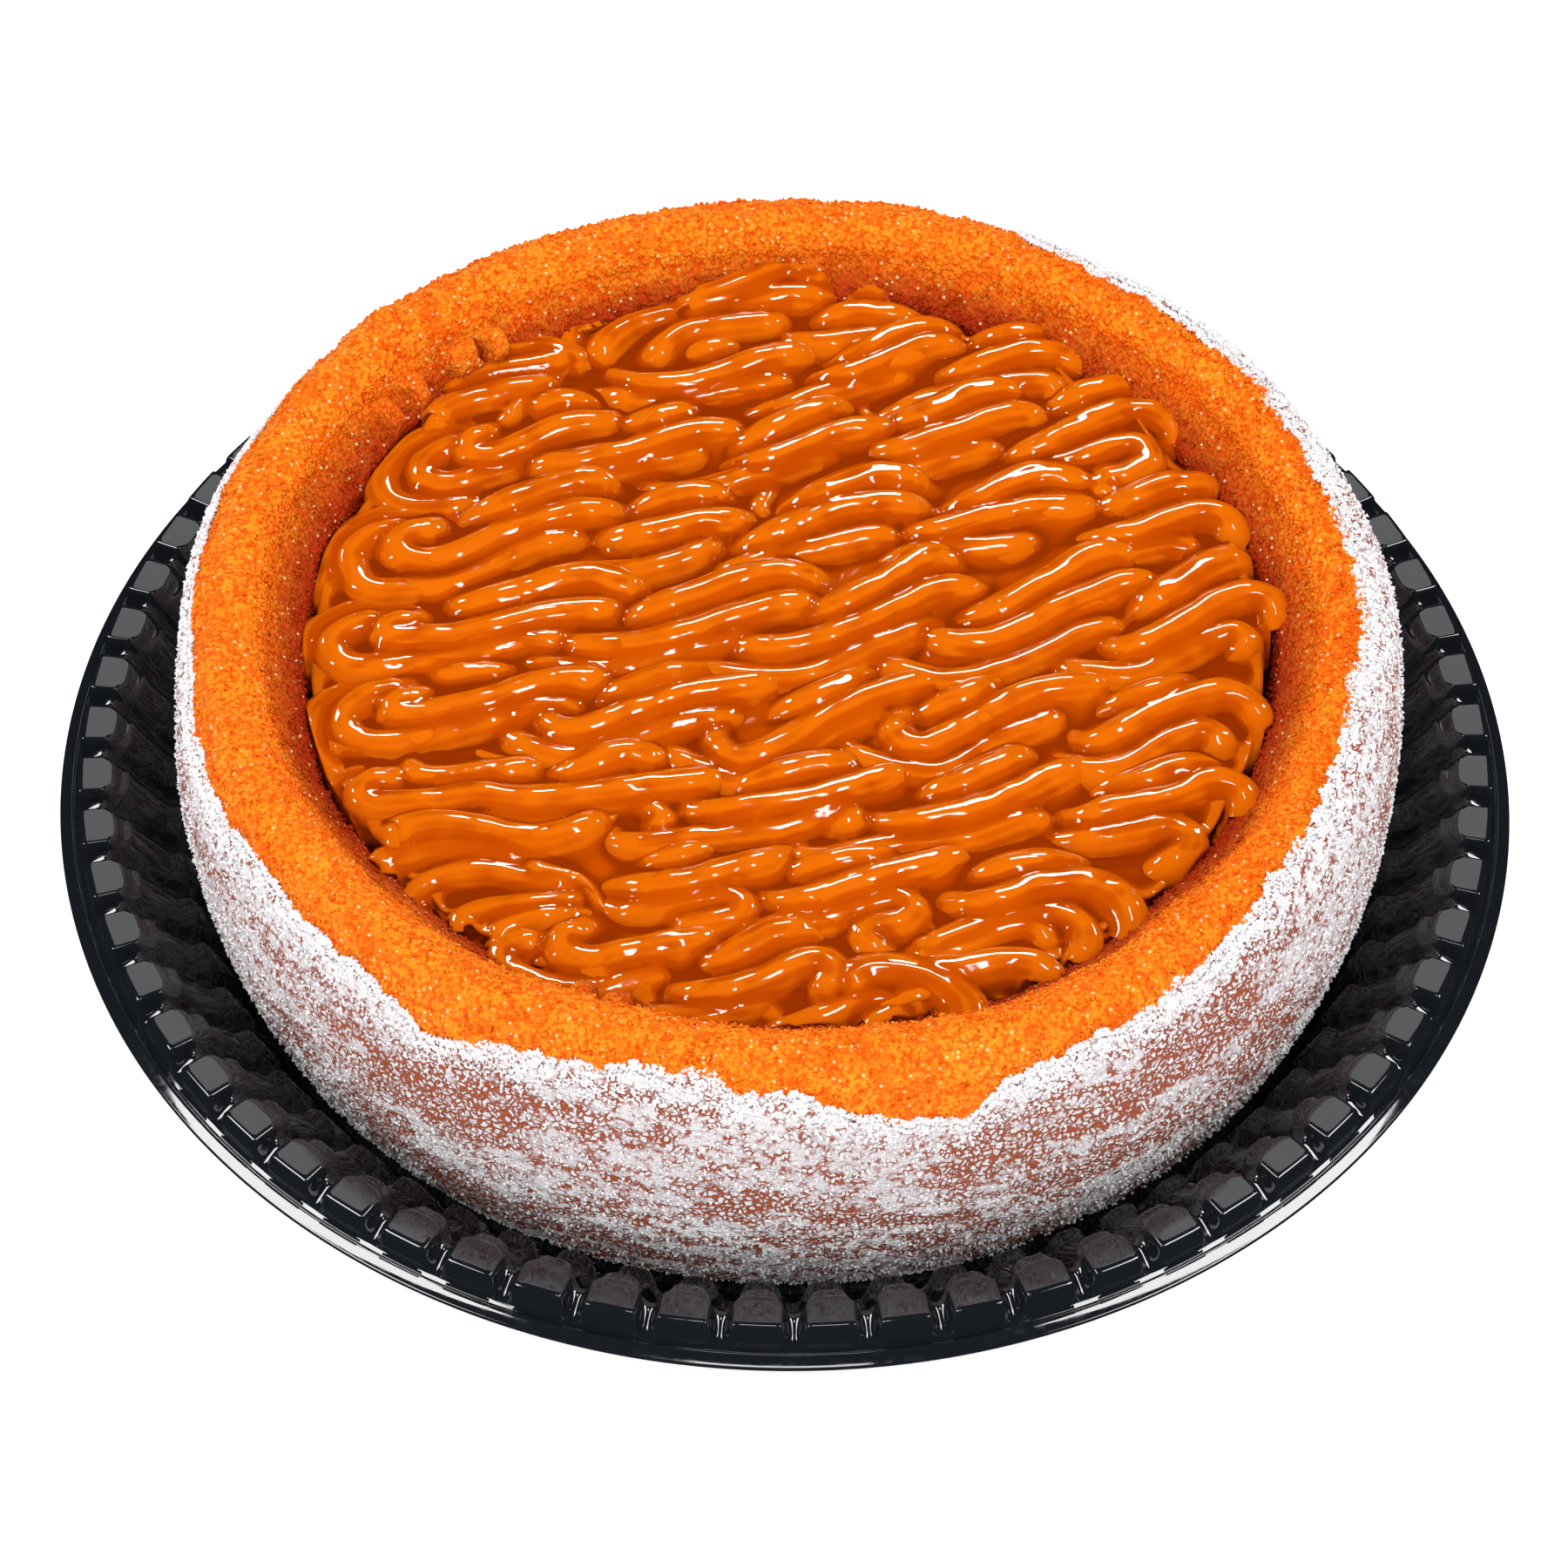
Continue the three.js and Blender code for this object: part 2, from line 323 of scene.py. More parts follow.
class Recipe:
    """Writes a material's or a node group's nodes, one short call each."""

    def __init__(self, tree: bpy.types.NodeTree) -> None:
        """Starts on an empty tree."""
        self.tree = tree
        self.tree.nodes.clear()

    def node(self, kind: str, inputs: dict | None = None, **settings: object) -> bpy.types.Node:
        """Adds one node.

        Args:
            kind: The node's type.
            inputs: What goes into its sockets: a value, or another node's output socket.
            **settings: The node's own settings.

        Returns:
            The new node.
        """
        node = self.tree.nodes.new(kind)
        for key, value in settings.items():
            setattr(node, key, value)
        for key, value in (inputs or {}).items():
            if isinstance(value, bpy.types.NodeSocket):
                self.tree.links.new(value, node.inputs[key])
            else:
                node.inputs[key].default_value = value
        return node

    def where(self) -> bpy.types.NodeSocket:
        """The place on the piece."""
        return self.node("ShaderNodeTexCoord").outputs["Object"]

    def surface(self, inputs: dict) -> None:
        """Ends a material with its shader."""
        shader = self.node("ShaderNodeBsdfPrincipled", inputs)
        self.node("ShaderNodeOutputMaterial", {"Surface": shader.outputs[0]})

    def math(self, operation: str, first: object, second: object) -> bpy.types.NodeSocket:
        """One sum of two values or sockets."""
        return self.node("ShaderNodeMath", {0: first, 1: second}, operation=operation).outputs[0]

    def times(self, first: object, second: object) -> bpy.types.NodeSocket:
        """One value or mask times another."""
        return self.math("MULTIPLY", first, second)

    def step(self, value: object, low: float, high: float, to: Span = (0, 1)) -> bpy.types.NodeSocket:
        """A soft step of a value between two levels."""
        inputs = {"Value": value, "From Min": low, "From Max": high, "To Min": to[0], "To Max": to[1]}
        return self.node("ShaderNodeMapRange", inputs, interpolation_type="SMOOTHSTEP").outputs[0]

    def mix(self, share: object, first: object, second: object) -> bpy.types.NodeSocket:
        """A mix of two colours."""
        return self.node("ShaderNodeMix", {0: share, 6: first, 7: second}, data_type="RGBA").outputs[2]

    def noise(
        self, where: bpy.types.NodeSocket, scale: object, detail: float = 2.0, rough: float = 0.5,
    ) -> bpy.types.NodeSocket:
        """Cloudy unevenness, 0 to 1."""
        inputs = {"Vector": where, "Scale": scale, "Detail": detail, "Roughness": rough}
        return self.node("ShaderNodeTexNoise", inputs).outputs[0]

    def cells(self, where: bpy.types.NodeSocket, scale: object, feature: str = "F1") -> bpy.types.Node:
        """Packed cells, such as grains."""
        return self.node("ShaderNodeTexVoronoi", {"Vector": where, "Scale": scale}, feature=feature)

    def grains(
        self, group: bpy.types.NodeTree, where: bpy.types.NodeSocket, per_metre: float,
    ) -> tuple[bpy.types.NodeSocket, bpy.types.NodeSocket]:
        """Places the shared grain.

        Args:
            group: The shared grain group.
            where: The place on the piece.
            per_metre: Fineness of the grain.

        Returns:
            The sockets of its height and of each grain's own number.
        """
        node = self.node("ShaderNodeGroup", node_tree=group)
        self.tree.links.new(where, node.inputs["Vector"])
        node.inputs["Scale"].default_value = per_metre
        return node.outputs["Height"], node.outputs["Speck"]

    def bump(self, height: bpy.types.NodeSocket, distance: float) -> bpy.types.NodeSocket:
        """Relief from a height, of which 1 stands the distance high, in metres."""
        return self.node("ShaderNodeBump", {"Height": height, "Distance": distance}).outputs[0]


def start_finish(name: str) -> tuple[bpy.types.Material, Recipe]:
    """Starts a material.

    Args:
        name: Its name.

    Returns:
        The material and the recipe that its nodes are written with.
    """
    material = bpy.data.materials.new(name)
    material.use_nodes = True
    return material, Recipe(material.node_tree)


@dataclass(frozen=True)
class FoodGrain:
    """The grainy relief that sponge and sugar share, at three sizes.

    Attributes:
        finer: Fineness of the fine grains, where the main ones have 1.
        coarser: Fineness of the clouds.
        fine_height: Height that the fine grains add.
        cloud_height: Height that the clouds add.
    """

    finer: float = 2.1
    coarser: float = 0.45
    fine_height: float = -0.35
    cloud_height: float = 0.8

    def group(self) -> bpy.types.NodeTree:
        """Makes the shared nodes.

        Returns:
            A group with inputs Vector and Scale (grains per metre), and outputs Height and Speck.
        """
        group = bpy.data.node_groups.new("food_grain", "ShaderNodeTree")
        sockets = (("Vector", "INPUT", "Vector"), ("Scale", "INPUT", "Float"),
                   ("Height", "OUTPUT", "Float"), ("Speck", "OUTPUT", "Float"))
        for name, way, kind in sockets:
            group.interface.new_socket(name, in_out=way, socket_type=f"NodeSocket{kind}")
        recipe = Recipe(group)
        source = recipe.node("NodeGroupInput")
        where, scale = source.outputs["Vector"], source.outputs["Scale"]
        grains = recipe.cells(where, scale)
        fine = recipe.cells(where, recipe.times(scale, self.finer)).outputs["Distance"]
        cloud = recipe.noise(where, recipe.times(scale, self.coarser), 3.0, 0.6)
        height = recipe.math("SUBTRACT", 1.0, grains.outputs["Distance"])
        height = recipe.math("ADD", height, recipe.times(fine, self.fine_height))
        height = recipe.math("ADD", height, recipe.times(cloud, self.cloud_height))
        colour = recipe.node("ShaderNodeSeparateColor", {"Color": grains.outputs["Color"]})
        recipe.node("NodeGroupOutput", {"Height": height, "Speck": colour.outputs[0]})
        return group


@dataclass(frozen=True)
class BlackPlastic:
    """Glossy black thermoformed plastic.

    Attributes:
        colour: Of the plastic.
        roughness: Of its clearest and its haziest places.
        haze_per_metre: Fineness of the hazy places.
        waves_per_metre: Fineness of the waves in the moulded sheet.
        wave: Height of those waves, in metres.
        haze: Levels of the cloud between which the plastic turns hazy.
    """

    colour: Colour = (0.0068, 0.0084, 0.011, 1)
    roughness: Span = (0.035, 0.115)
    haze_per_metre: float = 420.0
    waves_per_metre: float = 160.0
    wave: float = 0.00004
    haze: Span = (0.3, 0.75)

    def material(self) -> bpy.types.Material:
        """Makes the finish.

        Returns:
            The material, with the faint unevenness of a moulded sheet.
        """
        material, recipe = start_finish("black_plastic")
        where = recipe.where()
        waves = recipe.noise(where, self.waves_per_metre, 1.0)
        cloud = recipe.noise(where, self.haze_per_metre, 3.0)
        recipe.surface({
            "Base Color": self.colour,
            "Roughness": recipe.step(cloud, *self.haze, self.roughness),
            "IOR": 1.75,
            "Normal": recipe.bump(waves, self.wave),
        })
        return material


@dataclass(frozen=True)
class BakedCrumb:
    """Open orange crumb, brighter on the rim's top, with painted shade that turns it dark red down in the
    well.

    Attributes:
        grain: The shared grain group.
        grains_per_metre: Fineness of the crumb.
        relief: Height of the grains, in metres.
        glints_per_metre: Fineness of the pattern that the grains with a painted highlight are chosen from.
        well_radii: Between which the painted shade of the well begins, in metres.
        well_heights: The same, in height.
        well_shade_strength: How far the painted well shade darkens the crumb.
        clouds_per_metre: Fineness of the cloudy edge of the painted well shade.
        cloud_reach: How far that edge wanders, in metres.
        patches_per_metre: Fineness of the darker and lighter patches.
        patch_levels: Levels of the pattern between which a patch turns lighter.
        pit_shade_levels: Heights of the grain between which painted shade darkens the low places between
            grains.
        lit_top_levels: Heights of the grain between which painted light turns its top pale.
        pale_choice: Numbers of the grains between which they take part in that.
        glint_size: Distances from a sparkling grain's middle over which its painted highlight ends.
        glint_choice: Numbers of the grains between which they get a painted highlight.
        painted_glint_strength: Of the painted highlight's colour.
        deep: Colour of the darker patches.
        warm: Colour of the lighter patches.
        pale: Colour of the crumb's pale specks, set as painted light on the tops of the highest grains.
        pit_shade: Colour of the painted shade between the grains.
        painted_glint: Colour of the painted highlight on the sparkling grains.
        well_shade: Colour of the painted shade down in the well.
    """

    grain: bpy.types.NodeTree
    grains_per_metre: float = 900.0
    relief: float = 0.001
    glints_per_metre: float = 900.0
    well_radii: Span = (0.1095, 0.1035)
    well_heights: Span = (0.0705, 0.059)
    well_shade_strength: float = 0.92
    clouds_per_metre: float = 70.0
    cloud_reach: float = 0.012
    patches_per_metre: float = 130.0
    patch_levels: Span = (0.32, 0.62)
    pit_shade_levels: Span = (0.8, 0.45)
    lit_top_levels: Span = (0.95, 1.3)
    pale_choice: Span = (0.2, 0.8)
    glint_size: Span = (0.34, 0.2)
    glint_choice: Span = (0.86, 0.9)
    painted_glint_strength: float = 0.75
    deep: Colour = (1.0, 0.18, 0.002, 1)
    warm: Colour = (1.0, 0.29, 0.01, 1)
    pale: Colour = (1.0, 0.47, 0.05, 1)
    pit_shade: Colour = (0.9, 0.12, 0.0, 1)
    painted_glint: Colour = (1.0, 0.8, 0.5, 1)
    well_shade: Colour = (0.34, 0.01, 0.0, 1)

    def _well_shade_mask(self, recipe: Recipe, where: bpy.types.NodeSocket) -> bpy.types.NodeSocket:
        """Marks out the well's side, where shade is painted.

        Args:
            recipe: Where the nodes are written.
            where: The place on the piece.

        Returns:
            The mask's socket, with a cloudy edge.
        """
        place = recipe.node("ShaderNodeSeparateXYZ", {"Vector": where})
        across, ahead, height = place.outputs
        flat = recipe.node("ShaderNodeCombineXYZ", {"X": across, "Y": ahead, "Z": 0.0})
        radius = recipe.node("ShaderNodeVectorMath", {0: flat.outputs[0]}, operation="LENGTH")
        cloud = recipe.math("SUBTRACT", recipe.noise(where, self.clouds_per_metre, 3.0), 0.5)
        edge = recipe.math("ADD", radius.outputs["Value"], recipe.times(cloud, self.cloud_reach))
        return recipe.times(recipe.step(edge, *self.well_radii), recipe.step(height, *self.well_heights))

    def _painted_glints(self, recipe: Recipe, where: bpy.types.NodeSocket) -> bpy.types.NodeSocket:
        """Marks out the few grains that get a painted highlight.

        Args:
            recipe: Where the nodes are written.
            where: The place on the piece.

        Returns:
            The mask's socket.
        """
        glints = recipe.cells(where, self.glints_per_metre)
        chosen = recipe.node("ShaderNodeSeparateColor", {"Color": glints.outputs["Color"]}).outputs[0]
        painted_glint = recipe.step(glints.outputs["Distance"], *self.glint_size)
        return recipe.times(painted_glint, recipe.step(chosen, *self.glint_choice))

    def material(self) -> bpy.types.Material:
        """Makes the finish.

        Returns:
            The material.
        """
        material, recipe = start_finish("baked_crumb")
        where = recipe.where()
        height, speck = recipe.grains(self.grain, where, self.grains_per_metre)
        patches = recipe.noise(where, self.patches_per_metre, 4.0, 0.7)
        # Pale specks, picked at random and set on the highest grains as painted light on their tops.
        lit_grain_tops = recipe.step(height, *self.lit_top_levels)
        lit_grain_tops = recipe.times(lit_grain_tops, recipe.step(speck, *self.pale_choice))
        # Painted shade: the crumb down the well's side is darkened to red.
        well_shaded = recipe.times(self._well_shade_mask(recipe, where), self.well_shade_strength)
        # Painted highlight: a few grains are coloured as if they sparkled.
        painted_sparkles = recipe.times(self._painted_glints(recipe, where), self.painted_glint_strength)
        tone = recipe.mix(recipe.step(patches, *self.patch_levels), self.deep, self.warm)
        # Painted shade in the low places between the grains.
        tone = recipe.mix(recipe.step(height, *self.pit_shade_levels), tone, self.pit_shade)
        tone = recipe.mix(lit_grain_tops, tone, self.pale)
        tone = recipe.mix(well_shaded, tone, self.well_shade)
        tone = recipe.mix(painted_sparkles, tone, self.painted_glint)
        recipe.surface({
            "Base Color": tone,
            "Roughness": recipe.step(speck, 0.0, 1.0, (0.7, 0.4)),
            "Specular IOR Level": 0.2,
            "Normal": recipe.bump(height, self.relief),
        })
        return material


@dataclass(frozen=True)
class SugarCrust:
    """White sugar over a browned crust, which shows as fine red-brown lines in slanting patches.

    Attributes:
        grain: The shared grain group.
        grains_per_metre: Fineness of the sugar.
        cracks_per_metre: Fineness of the lines between its clumps.
        blots_per_metre: Fineness of the places where those lines show.
        sway: How far the lines are shaken from a plain pattern, in metres.
        crack_width: Distances from a line's middle, in clumps, over which it ends.
        lines_show: Levels of the cover between which the lines show.
        crust_shows: Levels of the cover between which the open crust shows.
        cover: Weight of the blots in that cover.
        worn: Weights of the wear in it, for the lines and for the open crust.
        crust_strength: Of the crust's colour where it shows.
        crust_depth: How deep it lies, in heights of a grain.
        thick_blots: Levels of the blots between which the sugar is thick and white.
        relief: Height of the grains, in metres.
        lit_foot_heights: Between which the painted light at the foot ends, in metres.
        lit_shoulder_heights: Between which the white of the shoulder begins, in metres: thicker sugar, with
            painted light from above.
        white: Colour of thick sugar, which on the shoulder also stands for painted light from above.
        thin_and_shaded_grey: Colour of thin sugar, and painted shade on the side's middle band.
        foot: Colour of the sugar at the foot, lighter as painted light from the pale floor.
        crust: Colour of the crust.
    """

    grain: bpy.types.NodeTree
    grains_per_metre: float = 1500.0
    cracks_per_metre: float = 720.0
    blots_per_metre: float = 420.0
    sway: float = 0.0024
    crack_width: Span = (0.2, 0.09)
    lines_show: Span = (0.34, 0.52)
    crust_shows: Span = (0.67, 0.79)
    cover: float = 0.8
    worn: Span = (0.25, 0.2)
    crust_strength: float = 0.96
    crust_depth: float = 0.9
    thick_blots: Span = (0.4, 0.75)
    relief: float = 0.0005
    lit_foot_heights: Span = (0.022, 0.042)
    lit_shoulder_heights: Span = (0.056, 0.068)
    white: Colour = (0.8, 0.78, 0.8, 1)
    thin_and_shaded_grey: Colour = (0.63, 0.58, 0.6, 1)
    foot: Colour = (0.95, 0.92, 0.94, 1)
    crust: Colour = (0.33, 0.05, 0.004, 1)

    def _bare(
        self, recipe: Recipe, where: bpy.types.NodeSocket, blots: bpy.types.NodeSocket,
    ) -> bpy.types.NodeSocket:
        """A mask of the crust that shows.

        Args:
            recipe: Where the nodes are written.
            where: The place on the piece.
            blots: The unevenness of the cover.

        Returns:
            The mask's socket: thin lines where the sugar is thin, and open crust where it is worn.
        """
        patch = recipe.node("ShaderNodeAttribute", attribute_name="wear").outputs["Fac"]
        cloud = recipe.node("ShaderNodeTexNoise", {"Vector": where, "Scale": 380.0, "Detail": 1.0})
        shift = {0: cloud.outputs["Color"], 1: (self.sway,) * 3, 2: where}
        shaken = recipe.node("ShaderNodeVectorMath", shift, operation="MULTIPLY_ADD").outputs[0]
        cracks = recipe.cells(shaken, self.cracks_per_metre, "DISTANCE_TO_EDGE").outputs["Distance"]
        crack = recipe.step(cracks, *self.crack_width)
        cover = recipe.times(blots, self.cover)
        shows, worn = (
            recipe.step(recipe.math("ADD", cover, recipe.times(patch, weight)), *levels)
            for weight, levels in zip(self.worn, (self.lines_show, self.crust_shows))
        )
        return recipe.math("MAXIMUM", recipe.times(crack, shows), recipe.times(worn, patch))

    def material(self) -> bpy.types.Material:
        """Makes the finish.

        Returns:
            The material.
        """
        material, recipe = start_finish("sugar_crust")
        where = recipe.where()
        height_up = recipe.node("ShaderNodeSeparateXYZ", {"Vector": where}).outputs[2]
        blots = recipe.noise(where, self.blots_per_metre, 3.0, 0.6)
        bare = self._bare(recipe, where, blots)
        height, _ = recipe.grains(self.grain, where, self.grains_per_metre)
        # Painted light at the foot and on the shoulder; painted shade on the side's middle band.
        tone = recipe.mix(recipe.step(height_up, *self.lit_foot_heights), self.foot, self.thin_and_shaded_grey)
        tone = recipe.mix(recipe.step(height_up, *self.lit_shoulder_heights), tone, self.white)
        tone = recipe.mix(recipe.step(blots, *self.thick_blots), tone, self.white)
        tone = recipe.mix(recipe.times(bare, self.crust_strength), tone, self.crust)
        relief = recipe.math("SUBTRACT", height, recipe.times(bare, self.crust_depth))
        recipe.surface({
            "Base Color": tone,
            "Roughness": 0.8,
            "Specular IOR Level": 0.25,
            "Normal": recipe.bump(relief, self.relief),
        })
        return material


@dataclass(frozen=True)
class LooseSugar:
    """The bright white of loose sugar grains, from the dullest to the brightest."""

    dull: Colour = (0.76, 0.74, 0.76, 1)
    bright: Colour = (0.9, 0.89, 0.9, 1)

    def material(self) -> bpy.types.Material:
        """Makes the finish.

        Returns:
            The material, in which each grain is a little different.
        """
        material, recipe = start_finish("loose_sugar")
        recipe.surface({
            "Base Color": recipe.mix(recipe.noise(recipe.where(), 900.0, 1.0), self.dull, self.bright),
            "Roughness": 0.6,
            "Specular IOR Level": 0.4,
        })
        return material


@dataclass(frozen=True)
class WetCaramel:
    """Glossy caramel, brown-orange, with painted light on its crests and painted shade in its creases in
    place of its slight translucency.

    Attributes:
        dark: The darker of its two cloudy tones.
        light: The lighter one.
        crest: Colour of the painted light on the ridges' crests, where thin caramel lets light through.
        crease_shade: Colour of the painted shade down between the ridges.
        clouds_per_metre: Fineness of the cloudy tones.
        cloud_levels: Levels between which one tone turns into the other.
        crest_light_hollows: Hollowness, in millimetres, over which the crests' painted light comes in.
        crease_shade_hollows: The same for the painted shade of the creases.
        wet_hollows: The same for the wet skin, which ends in the creases.
    """

    dark: Colour = (0.4, 0.05, 0.0, 1)
    light: Colour = (0.46, 0.066, 0.0, 1)
    crest: Colour = (0.6, 0.116, 0.001, 1)
    crease_shade: Colour = (0.24, 0.026, 0.0, 1)
    clouds_per_metre: float = 55.0
    cloud_levels: Span = (0.35, 0.65)
    crest_light_hollows: Span = (-0.05, -0.22)
    crease_shade_hollows: Span = (0.0, 0.45)
    wet_hollows: Span = (0.16, 0.0)

    def material(self) -> bpy.types.Material:
        """Makes the finish.

        Returns:
            The material, whose wet skin is a coat that is missing down in the creases.
        """
        material, recipe = start_finish("wet_caramel")
        cloud = recipe.noise(recipe.where(), self.clouds_per_metre)
        hollow = recipe.node("ShaderNodeAttribute", attribute_name="hollow").outputs["Fac"]
        tone = recipe.mix(recipe.step(cloud, *self.cloud_levels), self.dark, self.light)
        # Painted light on the crests.
        tone = recipe.mix(recipe.step(hollow, *self.crest_light_hollows), tone, self.crest)
        # Painted shade down in the creases.
        tone = recipe.mix(recipe.step(hollow, *self.crease_shade_hollows), tone, self.crease_shade)
        recipe.surface({
            "Base Color": tone,
            "Specular IOR Level": 0.0,
            "Coat Weight": recipe.step(hollow, *self.wet_hollows),
            "Coat Roughness": 0.05,
            "Coat IOR": 1.45,
        })
        return material


# ---------------------------------------------------------------- plate

# The outline of the plate's lip, at a block and at a gap alike, as radius and height in millimetres.
LIP: Plan = (
    (150, 19.6), (149.9, 20.0), (149.6, 20.2), (148.0, 20.8), (147.7, 21.4), (147.35, 21.5),
    (147.1, 21.1), (146.9, 21.1), (146.65, 21.6), (146.4, 21.6),
)


@dataclass
class Plate:
    """A thin moulded dish whose rim carries a ring of raised blocks.

    Attributes:
        blocks: How many blocks stand round the rim.
        phase: Angle of the first gap from +X, in pitches.
        wall: Thickness of the plastic sheet, in metres.
        across_gap: Distance from a block's middle, in pitches, and share of the block's height there.
        at_block: Outline through the middle of a block, as radius and height in millimetres.
        at_gap: Outline through the middle of a gap, point for point beside the other.
        flute_side: Span of a flute's rounded side, in pitches from the block's middle.
        flute_radii: Radii over which the square blocks turn into the wall's flutes, in millimetres.
        flute_top: Radii over which their heights do so, in millimetres.
        gloss_weight: How strongly large faces hold the shading of the rounded edges flat.
    """

    finish: bpy.types.Material
    blocks: int = 64
    phase: float = 0.236
    wall: float = 0.0011
    flute_side: Span = (0.47, 0.16)
    flute_radii: Span = (143.5, 138.5)
    flute_top: Span = (137.4, 135.5)
    gloss_weight: int = 80
    across_gap: Plan = (
        (0, 1), (0.12, 1), (0.22, 1), (0.3, 0.995), (0.33, 0.95), (0.35, 0.78), (0.365, 0.55),
        (0.385, 0.34), (0.41, 0.18), (0.44, 0.08), (0.47, 0.02), (0.5, 0),
    )
    at_block: Plan = (
        *LIP, (146.2, 22), (145.9, 27.3),
        (145.6, 27.85), (145.1, 28), (144.4, 28), (139.9, 28), (139.0, 27.95), (138.3, 27.7),
        (137.5, 26.6), (137.1, 26), (136.7, 25.8), (135.7, 25.6), (135.2, 25.2), (134.5, 23.2),
        (131.5, 19), (128.6, 15), (127.6, 14.2), (125.5, 14), (124.6, 13.1), (119.6, 2.2), (118.6, 1.3),
        (117, 1.2), (60, 1.2), (0, 1.2),
    )
    at_gap: Plan = (
        *LIP, (146.2, 21.9), (145.9, 22.3),
        (145.5, 22.7), (144.9, 23.1), (144.2, 23.5), (142.4, 24.5), (141.7, 24.85), (141.1, 24.95),
        (140.6, 24.8), (140.2, 24.4), (139.7, 23.8), (138.9, 22.8), (138.3, 21.8), (137.2, 19.6),
        (133.2, 14.8), (130.4, 11.4), (129.4, 10.4), (127.4, 9.2), (126.2, 8.2), (120.2, 2.0),
        (118.9, 1.3), (117, 1.2), (60, 1.2), (0, 1.2),
    )

    def _sector(self, across: Array, along: Array) -> Array:
        """Drapes one pitch: a block in the middle and half a gap at each side.

        Args:
            across: Share of the pitch, 0 to 1.
            along: Share of the way from the lip to the middle.

        Returns:
            The places of the points, in metres.
        """
        columns, shares = np.array(self.across_gap).T
        steps = len(columns) - 1
        index = np.rint(across * 2 * steps).astype(int) - steps
        turn = np.sign(index) * columns[np.abs(index)]
        station = np.rint(along * (len(self.at_block) - 1)).astype(int)
        block, gap = np.array(self.at_block)[station], np.array(self.at_gap)[station]
        side = np.abs(turn)
        inner = smoothstep(*self.flute_radii, block[:, 0])
        steep = np.interp(side, columns, shares)
        wave = smoothstep(*self.flute_side, side)
        deep = smoothstep(*self.flute_top, block[:, 0])
        share_r = steep * (1 - inner) + wave * inner
        share_z = steep * (1 - deep) + wave * deep
        radius = gap[:, 0] * (1 - share_r) + block[:, 0] * share_r
        height = gap[:, 1] * (1 - share_z) + block[:, 1] * share_z
        angle = (turn + 0.5 + self.phase) / self.blocks * TURN
        return np.stack([radius * np.cos(angle), radius * np.sin(angle), height], 1) * MM

    def build(self) -> bpy.types.Object:
        """Shapes one pitch, repeats it round the plate and gives the sheet its thickness.

        Returns:
            The finished plate.
        """
        columns, rows = 2 * (len(self.across_gap) - 1), len(self.at_block) - 1
        sector = lay_sheet("plate_sheet", columns, rows, self._sector)
        bpy.ops.object.empty_add(rotation=(0, 0, TURN / self.blocks))
        pitch = bpy.context.object
        bake(sector, "ARRAY", count=self.blocks, use_relative_offset=False, use_object_offset=True,
             offset_object=pitch, use_merge_vertices=True, merge_threshold=0.00003)
        bpy.data.objects.remove(pitch)
        weld(sector)
        top_face = max(sector.data.polygons, key=lambda face: face.area)
        if top_face.normal.z < 0:
            bpy.ops.object.mode_set(mode="EDIT")
            bpy.ops.mesh.flip_normals()
            bpy.ops.object.mode_set(mode="OBJECT")
        bake(sector, "SOLIDIFY", thickness=self.wall, offset=-1)
        bpy.ops.object.shade_smooth()
        bake(sector, "WEIGHTED_NORMAL", mode="FACE_AREA", weight=self.gloss_weight)
        return hand_over(sector, self.finish, ("plate",))


# ---------------------------------------------------------------- sponge and sugar


